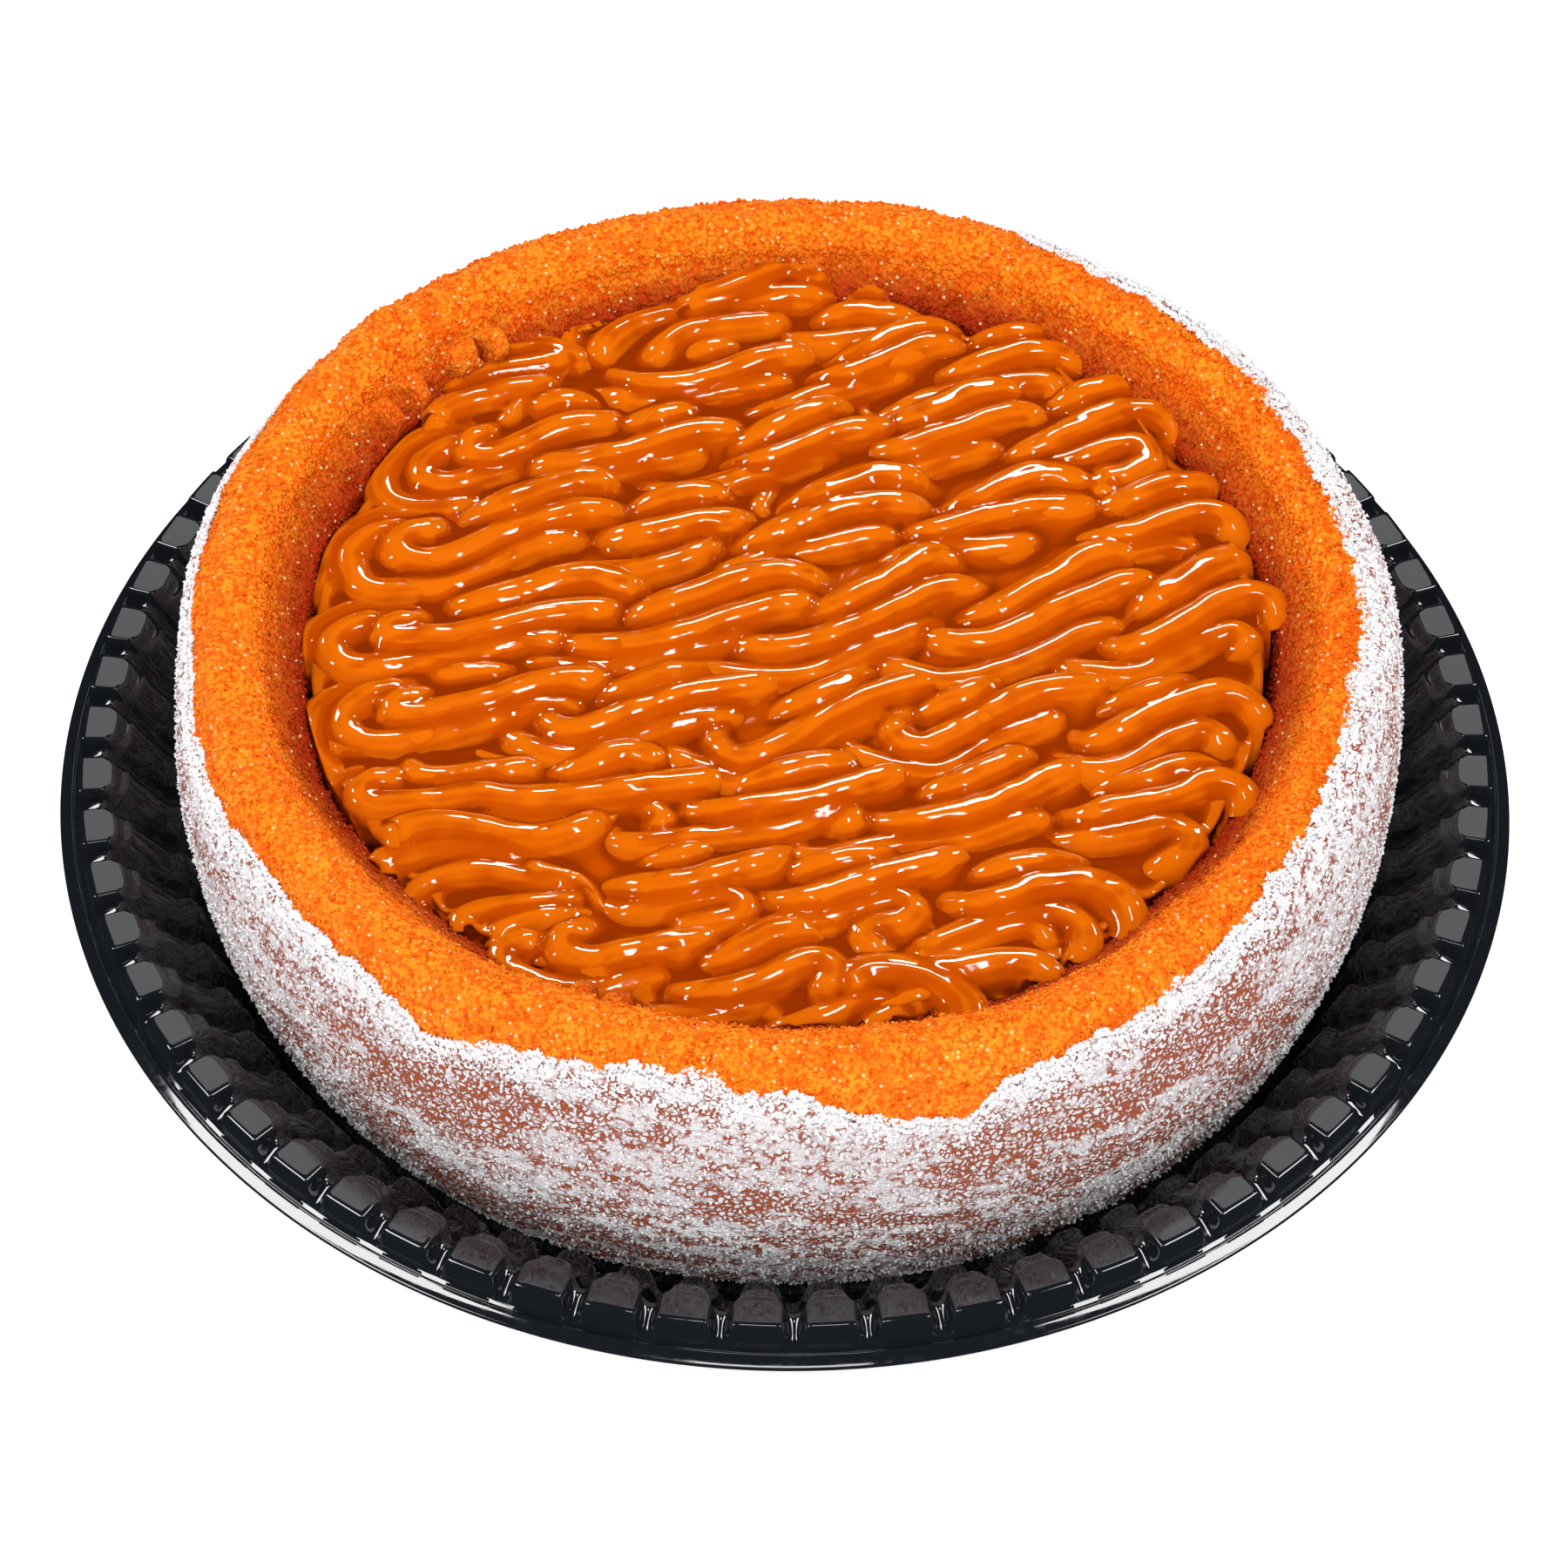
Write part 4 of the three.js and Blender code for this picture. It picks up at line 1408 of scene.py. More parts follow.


# The strokes' crest lines, row by row from the back of the cake, in millimetres. Each was listed one by one.
ROWS: dict[str, tuple[Ridge, ...]] = {
    "a": (
        under((-50, 86), (-46, 94), (-39, 100), (-30, 100), (-20, 99), (-12, 99), level=55),
        under((-24, 97), (-15, 101), (-8, 105), (-2, 108), (4, 106.5), (9, 101), level=59.5, size=5.6),
        mid((-24, 95), (-33, 96), (-42, 94), (-47, 88), (-48, 81), (-45, 75), rise=0, level=56),
        mid((-16, 93), (-26, 93), (-34, 91), (-39, 86), (-41, 80), (-39, 75), rise=0, level=57.5),
        mid((-2, 92), (-12, 91), (-21, 89), (-27, 84), (-29, 78), (-27, 74), rise=0, size=4.4),
        back((-22, 91), (-16, 95), (-9, 98.5), (0, 100.5), (6, 99), (9, 95)),
        back((7, 97), (13, 100.5), (19, 100.5), (24, 97), size=4.6),
        mid((1, 88), (6, 91.5), (12, 95), (19, 95.5), (25, 93.5), (29, 89)),
        front((-8, 84), (-2, 85.5), (6, 86), (12, 87.5), (20, 88), (27, 85)),
    ),
    "b": (
        back((-29, 76), (-24, 80), (-16, 84), (-8, 84), size=4.8, level=58),
        mid((-42, 76), (-36, 73.7), (-30, 73), (-22, 74), (-14, 77), (-6, 81), (1, 82.5), (7, 79)),
        front((-46, 69), (-40, 69), (-32, 68.5), (-24, 69.5), (-16, 71.5), (-8, 73.5), (-2, 74), (2, 71),
              level=58),
        front((-38, 64), (-30, 65), (-20, 66.5), (-12, 66), (-7, 63), size=3.6, level=54.5),
        back((5, 75), (10, 79), (16, 84), (22, 88.5), (28, 91), (33, 89), (35, 85)),
        mid((0, 70), (6, 74), (14, 78), (22, 82), (29, 85.5), (33.5, 85), (34, 80)),
        front((-15, 64), (-9, 63.5), (-3, 66), (4, 69.5), (12, 73), (20, 76), (26, 76.5), (28, 73),
              level=58),
        back((36, 83), (41, 87), (48, 90), (54, 90), (58, 87)),
        mid((27, 72), (33, 76), (40, 80), (48, 84), (55, 84.5), (60, 81), (61, 75), (60, 70), drop=7,
            reach=14),
        front((16, 61), (21, 64), (27, 68), (34, 71.5), (42, 74), (49, 75.5), (54, 75), (56, 71), (53, 67),
              level=58),
        curl((17, 69), (15, 67), (15, 64), (18, 61.5), (22, 62)),
    ),
    "c": (
        under((-70, 80), (-62, 82), (-54, 83), (-46, 80), (-40, 78), size=6.5, level=56),
        back((-73, 71), (-64, 74.5), (-55, 77.5), (-48, 79.5), (-44, 75), rise=0, size=4.5),
        mid((-74, 59), (-73, 64), (-67, 67.5), (-60, 69.5), (-53, 72), (-47, 76.5), rise=0, size=4.4),
        peak((-60, 60), (-56, 66), (-51, 71), (-45.5, 76), size=2.6, level=60.5),
        under((-62, 57), (-71, 57.5), (-79, 54), (-84, 47), (-83, 40), (-78, 37), (-70, 37.5), (-60, 38),
              level=56, size=5),
        front((-64, 54.5), (-71, 53.5), (-76, 49.5), (-75.7, 45.2), (-71, 43.7), (-65, 46), (-58, 49),
              (-50, 51), rise=0),
        mid((-62, 58.5), (-65.5, 56), (-66.5, 52.5), (-62, 51.8), (-56, 55), (-50, 58.5), (-43, 61.3),
            (-36, 62), (-32, 60), rise=0),
        back((-60, 60), (-53, 65), (-48, 68), (-43, 66), (-40, 62)),
        front((-60, 41), (-52, 43.5), (-44, 45.5), (-36, 47.8), (-30, 49), size=3.2, level=55.5),
        back((-40, 56), (-34, 60), (-28, 63.3), (-22, 65), (-17, 62)),
        mid((-60, 46), (-50, 49), (-42, 51), (-34, 53.5), (-26, 57.5), (-18, 60.3), (-12, 59.5), (-8, 55)),
        front((-55, 42), (-46, 46), (-38, 48), (-30, 51), (-22, 53.3), (-17, 52.5), (-16, 49)),
        back((-16, 51), (-8, 57), (-2, 62), (4, 66), (9, 67.5), (13, 64)),
        mid((-17, 47.5), (-10, 49.5), (-4, 52.5), (2, 56), (10, 59.5), (18, 60.7), (24, 57)),
        front((-35, 42.5), (-28, 42), (-22, 42), (-14, 44.5), (-6, 48), (2, 51.5), (10, 53.5), (15, 52)),
        curl((2, 45), (-3, 42.5), (-6, 39), (-6, 35.5), (-3, 33.5), (0, 34), size=2.8),
        back((18, 57), (25, 63), (33, 69), (40, 73.3), (46, 73), (50, 68)),
        mid((12, 50), (18, 53), (25, 55.5), (32, 59.5), (40, 64), (47, 66.7), (51, 65), (53, 60)),
        front((12, 46), (20, 47.5), (28, 51), (34, 53.8), (40, 55.3), (44, 54), (45, 50)),
        curl((38, 50), (34, 46), (31, 41), (30, 37), size=3.2, level=56),
        back((52, 63), (58, 69), (64, 73), (70, 75), (75, 71)),
        mid((41, 48), (46, 52), (52, 57), (58, 61.3), (64, 65), (70, 68.3), (76, 67.3), (80, 62), (78, 55),
            (78, 49), (81, 45), drop=7, reach=22),
        front((44, 46.5), (52, 49.5), (60, 53.3), (67, 57.3), (72, 57.5), (74, 53), (70, 49), (66, 48),
              (64, 45), (67, 42), (72, 41), level=58, thin=0.8),
    ),
    "d": (
        under((-66, 35), (-76, 35), (-86, 32), (-91, 26), (-92, 18), (-93, 12), (-88, 8), level=55),
        front((-78, 30.5), (-85, 28.5), (-89, 23), (-88, 17), (-84, 13.7), (-78, 13.5), (-70, 14.5),
              (-64, 17.5), (-58, 23), (-52, 26.5), (-46, 28.2), (-42, 27), (-41, 24), rise=0, level=58),
        mid((-72, 31), (-78, 29), (-79.5, 25), (-76, 22.3), (-71, 22.5), (-65, 25.3), (-58, 30), (-50, 34),
            (-43, 36.3), (-37, 36), (-33, 32), rise=0),
        back((-70, 30), (-62, 35), (-54, 40), (-46, 44.5), (-40, 45), (-35, 40), size=5.8),
        curl((-52, 17), (-56, 15), (-60, 14.5), (-64, 13), size=3.5, level=54),
        back((-36, 33), (-30, 37.5), (-24, 41), (-17, 41.7), (-10, 37)),
        mid((-43, 25), (-36, 28.5), (-28, 31), (-20, 34), (-14, 34.8), (-9, 33.5), (-6, 30)),
        front((-52, 17), (-45, 18), (-38, 18.7), (-30, 19.8), (-22, 23), (-17, 26.3), (-13, 26.5),
              (-12, 23)),
        curl((-20, 21), (-23, 17), (-24, 13), (-27, 11), size=3, level=55),
        back((-4, 33), (3, 39), (10, 44.3), (17, 47.7), (24, 47), (29, 41), size=5.8),
        mid((-14, 23), (-8, 27), (-2, 31.3), (5, 35.3), (12, 38.3), (20, 39.7), (26, 38.3), (30, 34)),
        front((-19, 15), (-14, 18), (-8, 21.3), (0, 25), (8, 27.7), (14, 29.7), (19, 30), (20.5, 27),
              (17, 24.5), level=57.5),
        curl((14, 26), (12, 22), (10, 18.5), size=3, level=55.5),
        back((28, 33), (35, 38), (42, 43.3), (48, 47.3), (54, 48.7), (60, 46.5), (63, 41)),
        mid((20, 26), (26, 30), (32, 32.7), (40, 36.3), (48, 38.8), (56, 39.8), (62, 39), (65, 35)),
        front((16, 17), (21, 22.5), (28, 25.7), (36, 27.3), (44, 28.7), (51, 29.7), (55, 28)),
        front((38, 18), (46, 20), (54, 21.7), (60, 22), size=3.4, level=54.5),
        back((60, 35), (66, 39.3), (74, 44), (80, 46.7), (86, 46), (89, 41)),
        mid((56, 27), (63, 29.7), (70, 32.3), (78, 36.3), (84, 38.7), (89, 37.7), (91.5, 33), (91, 27),
            (86, 24), drop=6, reach=14),
        front((55, 22), (62, 24), (70, 26.7), (77, 29), (82, 28.5), (81, 24), (78, 20)),
    ),
    "e": (
        under((-72, 9), (-82, 9), (-90, 6), (-95, 1), (-94, -6), (-90, -11), level=55),
        front((-80, 5), (-87, 3.3), (-91.3, -1), (-90, -6), (-85, -8), (-76, -7), (-66, -5), (-58, -2),
              (-52, 0), (-44, 0.5), (-39, -2), rise=0, level=58),
        mid((-74, 5), (-79.5, 3.5), (-80, 0.8), (-76, 0), (-68, 0.5), (-60, 3), (-52, 7), (-44, 9),
            (-36, 9.3), (-30, 7), rise=0),
        back((-74, 7), (-66, 9), (-59, 12), (-52, 15), (-45, 18), (-38, 18.3), (-32, 15), (-29, 10)),
        back((-37, 3), (-33, 6), (-26, 10), (-18, 14), (-10, 18), (-2, 20), (4, 18.5), (8, 13)),
        mid((-52, -2), (-45, -1), (-36, -0.8), (-28, 0.3), (-20, 3.3), (-12, 7.2), (-4, 10.3), (3, 10.8),
            (9, 8)),
        front((-60, -6), (-50, -7), (-42, -7.5), (-34, -7), (-27, -4), (-20, -1.3), (-12, 1.3), (-6, 3.3),
              (-1, 1.5)),
        back((0, 3), (4, 6.5), (12, 12), (20, 18), (26, 23), (31, 25), (37, 20)),
        mid((-17, -3.7), (-8, -1), (0, 0), (8, 2.2), (16, 6.3), (24, 12), (30, 16), (36, 16.3), (42, 11)),
        front((-26, -5), (-20, -7), (-10, -8.5), (-3, -9), (4, -8), (12, -4), (20, 0.7), (26, 4.3),
              (31, 4.5), (33, 1)),
        back((32, 3), (36, 7), (42, 10.5), (48, 14.5), (55, 20.5), (61, 25.3), (67, 27), (73, 22)),
        mid((21, 2), (30, 2), (36, 1.5), (42, 3), (48, 6.3), (55, 11.3), (62, 15.3), (68, 18.3), (73, 18),
            (77, 13)),
        front((12, -4), (20, -6), (28, -8.7), (36, -8.7), (42, -6), (48, -2.7), (54, 1), (60, 4.3),
              (65, 5.7), (67.5, 3), (65, 0.5)),
        back((68, 5), (74, 13), (80, 19), (86, 24.3), (91, 26), (95, 21)),
        mid((58, 1), (66, 0), (71, 1), (76, 4), (82, 9.3), (88, 14.3), (94, 16.7), (98, 14.5), (99, 9),
            (96, 2), (92, -8), drop=7, reach=24),
        front((48, -4), (58, -6), (66, -7), (72, -6), (78, -2), (84, 2.7), (90, 5.3), (92.5, 2),
              (90, -1.5), (86, -2.5)),
    ),
    "f": (
        under((-76, -13), (-86, -14), (-93, -20), (-94, -28), (-90, -36), (-84, -40), level=55),
        front((-74, -13), (-82, -15), (-87.5, -20), (-87, -25.5), (-81, -27.8), (-72, -25.7), (-62, -22),
              (-54, -19), (-46, -17.5), (-40, -18.5), (-39, -22), rise=0, level=58),
        mid((-72, -15.5), (-76.5, -16.5), (-77.5, -18.7), (-73, -19.5), (-66, -18), (-58, -15),
            (-50, -11.5), (-43, -10), (-37, -10), (-32, -13), rise=0),
        back((-80, -12), (-72, -10.5), (-64, -9), (-57, -9.5), (-50, -11), size=4.6, level=58),
        back((-41, -19), (-36, -15.5), (-30, -12), (-24, -9), (-18, -8), (-12, -10)),
        mid((-40, -18), (-45, -18.5), (-47, -21), (-44.5, -23.3), (-40, -23.4), (-34, -20.5), (-27, -16.5),
            (-19, -13), (-11, -11), (-4, -10.3), (1, -13), rise=2),
        front((-62, -25), (-56, -25.5), (-50, -28.5), (-44, -30.7), (-38, -29), (-30, -25), (-22, -21.3),
              (-14, -19.3), (-9, -20), (-8, -23)),
        back((-6, -22), (0, -17.5), (7, -13), (14, -9), (20, -9)),
        mid((-11, -21), (-14, -23.5), (-13.5, -27.5), (-9.5, -30), (-4, -28), (2, -23.7), (8, -18.7),
            (15, -14), (22, -11), (28, -10), (33, -13), rise=2),
        front((-30, -28), (-22, -30.3), (-15, -34), (-9, -36.3), (-3, -34), (2, -29), (8, -23.5),
              (13, -20), (18, -18.7), (20, -21), (15, -23)),
        back((22, -21), (28, -18), (34, -14), (40, -10.5), (46, -9)),
        mid((30, -17), (25, -18.5), (22, -21.5), (24, -25), (28, -26), (32, -23.5), (38, -19), (44, -14.7),
            (50, -11.3), (57, -9.7), (63, -10), (67, -13), rise=2),
        front((8, -22), (9, -26), (14, -29.3), (22, -32.7), (30, -33.7), (35, -31), (40, -26), (46, -22),
              (52, -19.5), (56, -20), (57, -23)),
        back((61, -20), (66, -15.5), (72, -12), (79, -9.3), (85, -10)),
        mid((54, -23), (60, -25.3), (66, -22), (74, -16), (82, -12), (88, -10.3), (92.5, -13), (94.5, -19),
            (93, -26), (90, -32), drop=6, reach=20),
        front((48, -28.5), (56, -31), (63, -32), (70, -29), (76, -24.3), (82, -21), (85.5, -22.5),
              (86, -27), (84, -31), thin=0.8),
    ),
    "g": (
        under((-80, -36), (-88, -39), (-92, -44), (-88, -50), (-80, -53), level=55, size=5),
        mid((-76, -36.5), (-81, -38), (-83.3, -41.3), (-80, -43.7), (-70, -42.7), (-62, -40.7), (-56, -41),
            (-50, -41.2), (-40, -40.2), (-30, -38.2), (-20, -36), (-14, -35.3), (-9, -38), rise=0),
        mid((-75, -34), (-72, -36.5), (-66, -36.5), (-58, -34.7), (-50, -33.3), (-45, -35), rise=0,
            size=4.2),
        peak((-76, -37), (-71, -34.5), (-67, -31.5), (-64.5, -27), size=4.6, level=57.5),
        peak((-54, -34), (-58, -33), (-62, -31), (-64.5, -27), size=4.4, level=57.5),
        back((-51, -40), (-45, -36), (-38, -32), (-31, -29), (-26, -31), (-22, -35)),
        front((-68, -44.5), (-60, -47), (-52, -48.5), (-45, -48), (-38, -46), (-33, -46), rise=0,
              size=3.6),
        curl((-37, -46), (-31, -44), (-25.5, -44.5), (-23.7, -47.5), (-27, -50), (-31, -49.5), size=2.9,
             level=59.5),
        back((-15, -42), (-9, -38), (-2, -33.5), (6, -31), (13, -32), (17, -36)),
        mid((-17, -40.5), (-20, -42), (-17.5, -44), (-13, -44), (-5, -42.5), (5, -40), (14, -36.5),
            (22, -34), (27, -37), rise=2),
        front((-30, -47), (-34, -49), (-33, -52.3), (-28, -53), (-20, -51.7), (-10, -50.3), (0, -48),
              (6, -45), (11, -43), (12.5, -45.5), (8, -48), (3, -49)),
        back((23, -43), (28, -39.3), (35, -35.5), (41, -31.5), (46, -28.5), (51, -32)),
        mid((14, -43), (16, -46.3), (21, -47), (28, -45.2), (37, -42.3), (45, -38.3), (52, -33.7),
            (58, -32), (61, -36)),
        front((4, -49), (2, -52), (4, -56), (9, -56.2), (16, -53.8), (24, -52.2), (33, -51), (41, -47.7),
              (47, -45), (51, -46.5), (50.5, -51)),
        back((60, -41), (65, -36.5), (72, -33.3), (79, -30.3), (84, -32), (86, -36)),
        mid((51, -46.5), (58, -45), (66, -41.2), (76, -38), (83, -34.7), (88, -35), (90.5, -39), (89, -46),
            (85, -52), drop=6, reach=16),
        front((49, -52), (58, -50.5), (68, -48), (75, -46.3), (79.3, -48.5), (79, -52.5), (75, -56),
              (71.5, -59), (71, -63), (71.5, -67), drop=7, reach=16, thin=0.75),
        curl((56, -55), (60, -57.5), (64, -58.3), (68, -56), (72, -54), size=3.2, level=55),
    ),
    "h": (
        under((-78, -60), (-70, -66), (-62, -74), (-56, -82), size=6, level=52.5),
        mid((-76, -54), (-75, -50.5), (-68, -48.5), (-58, -50), (-50, -51.5), (-43, -50), (-36, -46.5),
            (-31, -47.5), rise=0),
        mid((-79, -63), (-78, -58.5), (-72, -55.7), (-64, -54.7), (-56, -56), (-49, -57.5), (-44, -56.5),
            rise=0, level=57.5),
        mid((-70, -75), (-72.5, -70), (-70.5, -65), (-66, -62.3), (-58, -61.3), (-50, -62), (-42, -64),
            (-36, -66), rise=0, size=3.9, level=58),
        front((-62, -78), (-62, -73), (-56, -70.3), (-49, -68.7), (-42, -68), (-36, -69), rise=0, size=4),
        front((-57, -80), (-54, -75), (-48, -72.3), (-42, -71.7), (-36, -73), rise=0, size=3.8, level=58),
        peak((-50, -52), (-44, -53), (-39, -51), (-31, -47), size=2.6, level=60.5),
        peak((-50, -60), (-44, -62), (-39, -65), (-35.5, -70.5), size=2.6, level=60),
        back((-32, -63), (-27, -59), (-22, -56.5), (-17, -55), (-10, -57), size=4.6),
        peak((-21, -60), (-18.5, -57), (-17, -52), size=2.8, level=60),
        mid((-37, -67), (-28, -63.7), (-20, -62.3), (-10, -59.3), (-4, -57), (1, -56), (4, -59)),
        front((-38, -70.5), (-28, -70), (-20, -68), (-13, -66.2), (-9, -67), (-9, -71), (-14, -73),
              (-18, -74), (-17.5, -77.5), (-13, -78), thin=0.8),
        back((-4, -63.5), (2, -60.5), (8, -57.5), (14, -55.5), (21, -56), (26, -59), size=4.8),
        mid((-8, -65), (-3, -68), (4, -66.7), (12, -63), (20, -59.8), (28, -56.8), (33, -55.3), (37, -59)),
        front((-16, -77.5), (-8, -77), (0, -74), (8, -71), (16, -67.3), (22, -65.7), (25, -68),
              (23, -71.3), (18, -72.3), (16, -75), (19, -79), (25, -79), thin=0.8),
        curl((21, -77), (23, -74.5), (27, -74), (29.5, -77), (27, -80), size=2.6),
        back((33, -65), (40, -59.5), (48, -56), (55, -56.5), (61, -60)),
        mid((28, -65), (31, -67), (37, -67), (43, -64.7), (49, -61.7), (56, -60.3), (62, -61.5),
            (66.5, -66), (67.5, -72), (64, -79), (59, -84), drop=6, reach=20, size=5.2),
        front((26, -79), (36, -74.3), (45, -70.5), (52, -68.7), (57, -71), (58.5, -77), (54, -85), rise=0,
              size=4.6, level=58),
        front((24, -81), (34, -78), (42, -73.7), (48, -73), (51, -77), (48, -83), rise=0, size=3.8,
              level=58.5),
    ),
    "i": (
        under((-61, -79), (-58, -85), (-52, -90), (-44, -94), (-34, -98), size=5, level=54),
        front((-46, -77), (-52, -78.5), (-54.5, -81.5), (-52, -85.5), (-46, -88.7), (-39, -89.5),
              (-32, -88), (-26, -86.3), (-21.5, -87), (-22, -91), rise=0, level=57.5),
        mid((-38, -74), (-42, -76.5), (-41.5, -80), (-37, -81.7), (-30, -80), (-22, -78), (-15, -76.7),
            (-10, -79), rise=0),
        back((-50, -76.5), (-45, -74), (-39, -73), (-33, -74), size=4, level=57),
        curl((-35, -71), (-31, -71.5), (-26, -74), (-23, -78), size=3.4, level=58),
        under((-40, -93), (-30, -98), (-20, -103), (-10, -105), (2, -105.5), (14, -104), (22, -103),
              size=5, level=53),
        back((-20, -88), (-14, -83), (-7, -78.5), (-1, -75), (5, -75), (9, -79), size=5),
        mid((-26, -92.5), (-18, -90.5), (-9, -88.5), (-2, -85), (3, -81.8), (7.5, -81), (9.5, -84),
            (7.5, -88.5), (3, -92)),
        front((-33, -95.5), (-24, -96.3), (-15, -95.3), (-7, -92.5), (-1, -92), (3, -94)),
        mid((-1, -94.5), (-4, -96.5), (-1, -98.7), (3, -98), (9, -94.7), (15, -91.5), (20, -91.5),
            (22, -94), (18, -97), (17, -101), (20, -105), size=3.9, level=57.5, thin=0.8),
        front((-32, -100), (-24, -102.5), (-16, -100.5), (-9, -99.5), (-3, -100.5), size=3.6, level=55),
        front((-8, -104), (2, -102.8), (9, -101), (16, -97), size=3.6, level=55),
        peak((28, -92), (22, -88), (16, -84), (12.5, -78.5), size=5, level=57.5),
        under((10, -88), (16, -83), (24, -83), (31, -86.5), (35.5, -92), (34, -98), (28, -101), size=6,
              level=57.5),
        mid((26, -81.5), (34, -83), (42, -81.3), (49, -82), (53.5, -86), (53, -91), rise=0, level=58),
        peak((26, -81), (33, -86.5), (39, -91), (45, -94.5), size=3.4, level=56.5),
    ),
}


@dataclass
class Caramel:
    """The piped caramel: a bed in the well and rows of strokes whose ridges flow into one another.

    Attributes:
        plan_height: Height at which the crest lines are drawn true to plan, in millimetres.
        lean: How much further back a point looks for each millimetre that it stands higher.
        crest_share: How far a crest line shows behind a ridge's middle line, in radii.
        grain: Edge of the cells in which a row's ridges are fused, in metres.
        body_drop: How far below each ridge its own body lies, in millimetres.
        body_width: Width of that body, where the ridge has 1.
        climb: Length over which a ridge comes up at its start, in millimetres.
        swell: Length over which it swells there, and the share of its width that it starts without.
        taper: Length over which it thins at its end, where its dive has 1.
        cap: Length of its round ends, in radii.
        well_radius: Of the well that the caramel fills, in millimetres.
        bed_height: Of the bed's open stretches, in millimetres.
        underside: Height at which the rows end inside the bed, in millimetres.
        sways: Width of the skin's slow sways and their size, in metres, and a seed for each axis.
        drag_angle: Direction of the drag marks in the caramel's skin.
        drag_depth: Their depth, in millimetres.
        drag_stretch: Fineness of a mark along its length, where it has 1 across.
        drag_patches: Width of the patches that have marks, in metres, and their seed.
        drag_marks: Width of one mark, in metres, and the marks' seed.
        drag_levels: Levels of the patches between which the marks come in.
        swells: Unevenness of the bed.
        land_start: Where a ridge's side starts to run on, as a share of its radius.
        land_drop: How far a side falls that meets no other, in millimetres.
        land_under: How far the caramel between the ridges lies under their skin, in millimetres.
        land_reach: Half the width of the widest space that is filled so, in millimetres.
        land_cells: Cells of its grid for each millimetre.
        land_half: Half the width of that grid, in millimetres.
        well_top: Height in metres under which the rows are kept inside the well.
        hollow_smooths: Rounds of smoothing that even the ridges out, to measure the creases.
        rings: Rings of cells in the bed.
        around: Cells round the bed.
        floor: Height of its hidden underside, in millimetres.
    """

    finish: bpy.types.Material
    plan_height: float = 63.0
    lean: float = 0.86
    crest_share: float = 1.2
    grain: float = 0.00064
    body_drop: float = 3.6
    body_width: float = 1.1
    climb: float = 12
    swell: Span = (16, 0.4)
    taper: float = 1.4
    cap: float = 0.8
    well_radius: float = 98.0
    bed_height: float = 55.0
    underside: float = 51.5
    sways: tuple[tuple[float, float, tuple[int, int, int]], ...] = (
        (0.012, 0.0006, (41, 42, 43)),
        (0.0045, 0.00018, (44, 45, 46)),
    )
    drag_angle: float = 0.42
    drag_depth: float = 0.16
    drag_stretch: float = 0.25
    drag_patches: tuple[float, int] = (0.013, 47)
    drag_marks: tuple[float, int] = (0.0022, 48)
    drag_levels: Span = (-0.1, 0.4)
    swells: Layers = ((0.3, 0.014, 51), (0.15, 0.006, 52))
    land_start: float = 0.8
    land_drop: float = 3.4
    land_under: float = 0.45
    land_reach: int = 14
    land_cells: int = 2
    land_half: int = 124
    well_top: float = 0.0605
    hollow_smooths: int = 40
    rings: int = 138
    around: int = 540
    floor: float = 50.0

    @property
    def all_rings(self) -> int:
        """Rings of cells in the bed, with its edge and its underside."""
        return self.rings + 2

    @staticmethod
    def _through(path: Plan, step: float = 1.0) -> Array:
        """Draws a smooth line through the points of a plan.

        Args:
            path: The points, in millimetres.
            step: Distance between the points of the line.

        Returns:
            The line's points, one row each.
        """
        knots = np.array(path, float)
        knots = np.concatenate([[2 * knots[0] - knots[1]], knots, [2 * knots[-1] - knots[-2]]])
        line = []
        for p0, p1, p2, p3 in zip(knots, knots[1:], knots[2:], knots[3:]):
            for t in np.linspace(0, 1, 24, endpoint=False):
                line.append(0.5 * (2 * p1 + (p2 - p0) * t + (2 * p0 - 5 * p1 + 4 * p2 - p3) * t**2
                                   + (3 * p1 - p0 - 3 * p2 + p3) * t**3))
        line = np.array(line + [knots[-2]])
        lengths = np.concatenate([[0], np.cumsum(np.linalg.norm(np.diff(line, axis=0), axis=1))])
        even = np.linspace(0, lengths[-1], max(4, int(lengths[-1] / step)))
        return np.stack([np.interp(even, lengths, line[:, k]) for k in range(2)], 1)

    def _route(self, ridge: Ridge) -> tuple[Array, Array]:
        """The middle line of one ridge in space.

        Args:
            ridge: The ridge to route.

        Returns:
            The points in millimetres, and the ridge's radius at each.
        """
        crest = self._through(ridge.crest)
        gone = np.concatenate([[0], np.cumsum(np.linalg.norm(np.diff(crest, axis=0), axis=1))])
        left = gone[-1] - gone
        height = ridge.level - ridge.rise * smoothstep(self.climb, 0, gone)
        height = height - ridge.drop * smoothstep(ridge.reach, 0, left)
        size = np.full(len(crest), ridge.size)
        if ridge.rise:
            size = size * (1 - self.swell[1] * smoothstep(self.swell[0], 0, gone))
        size = size * (1 - (1 - ridge.thin) * smoothstep(ridge.reach * self.taper, 0, left))
        for run in (gone, left):
            size = size * np.sqrt(1 - (1 - np.clip((run + 0.15) / (self.cap * ridge.size), 0, 1)) ** 2)
        aside = crest[:, 1] - self.crest_share * size + self.lean * (self.plan_height - height)
        return np.column_stack([crest[:, 0], aside, height]), size

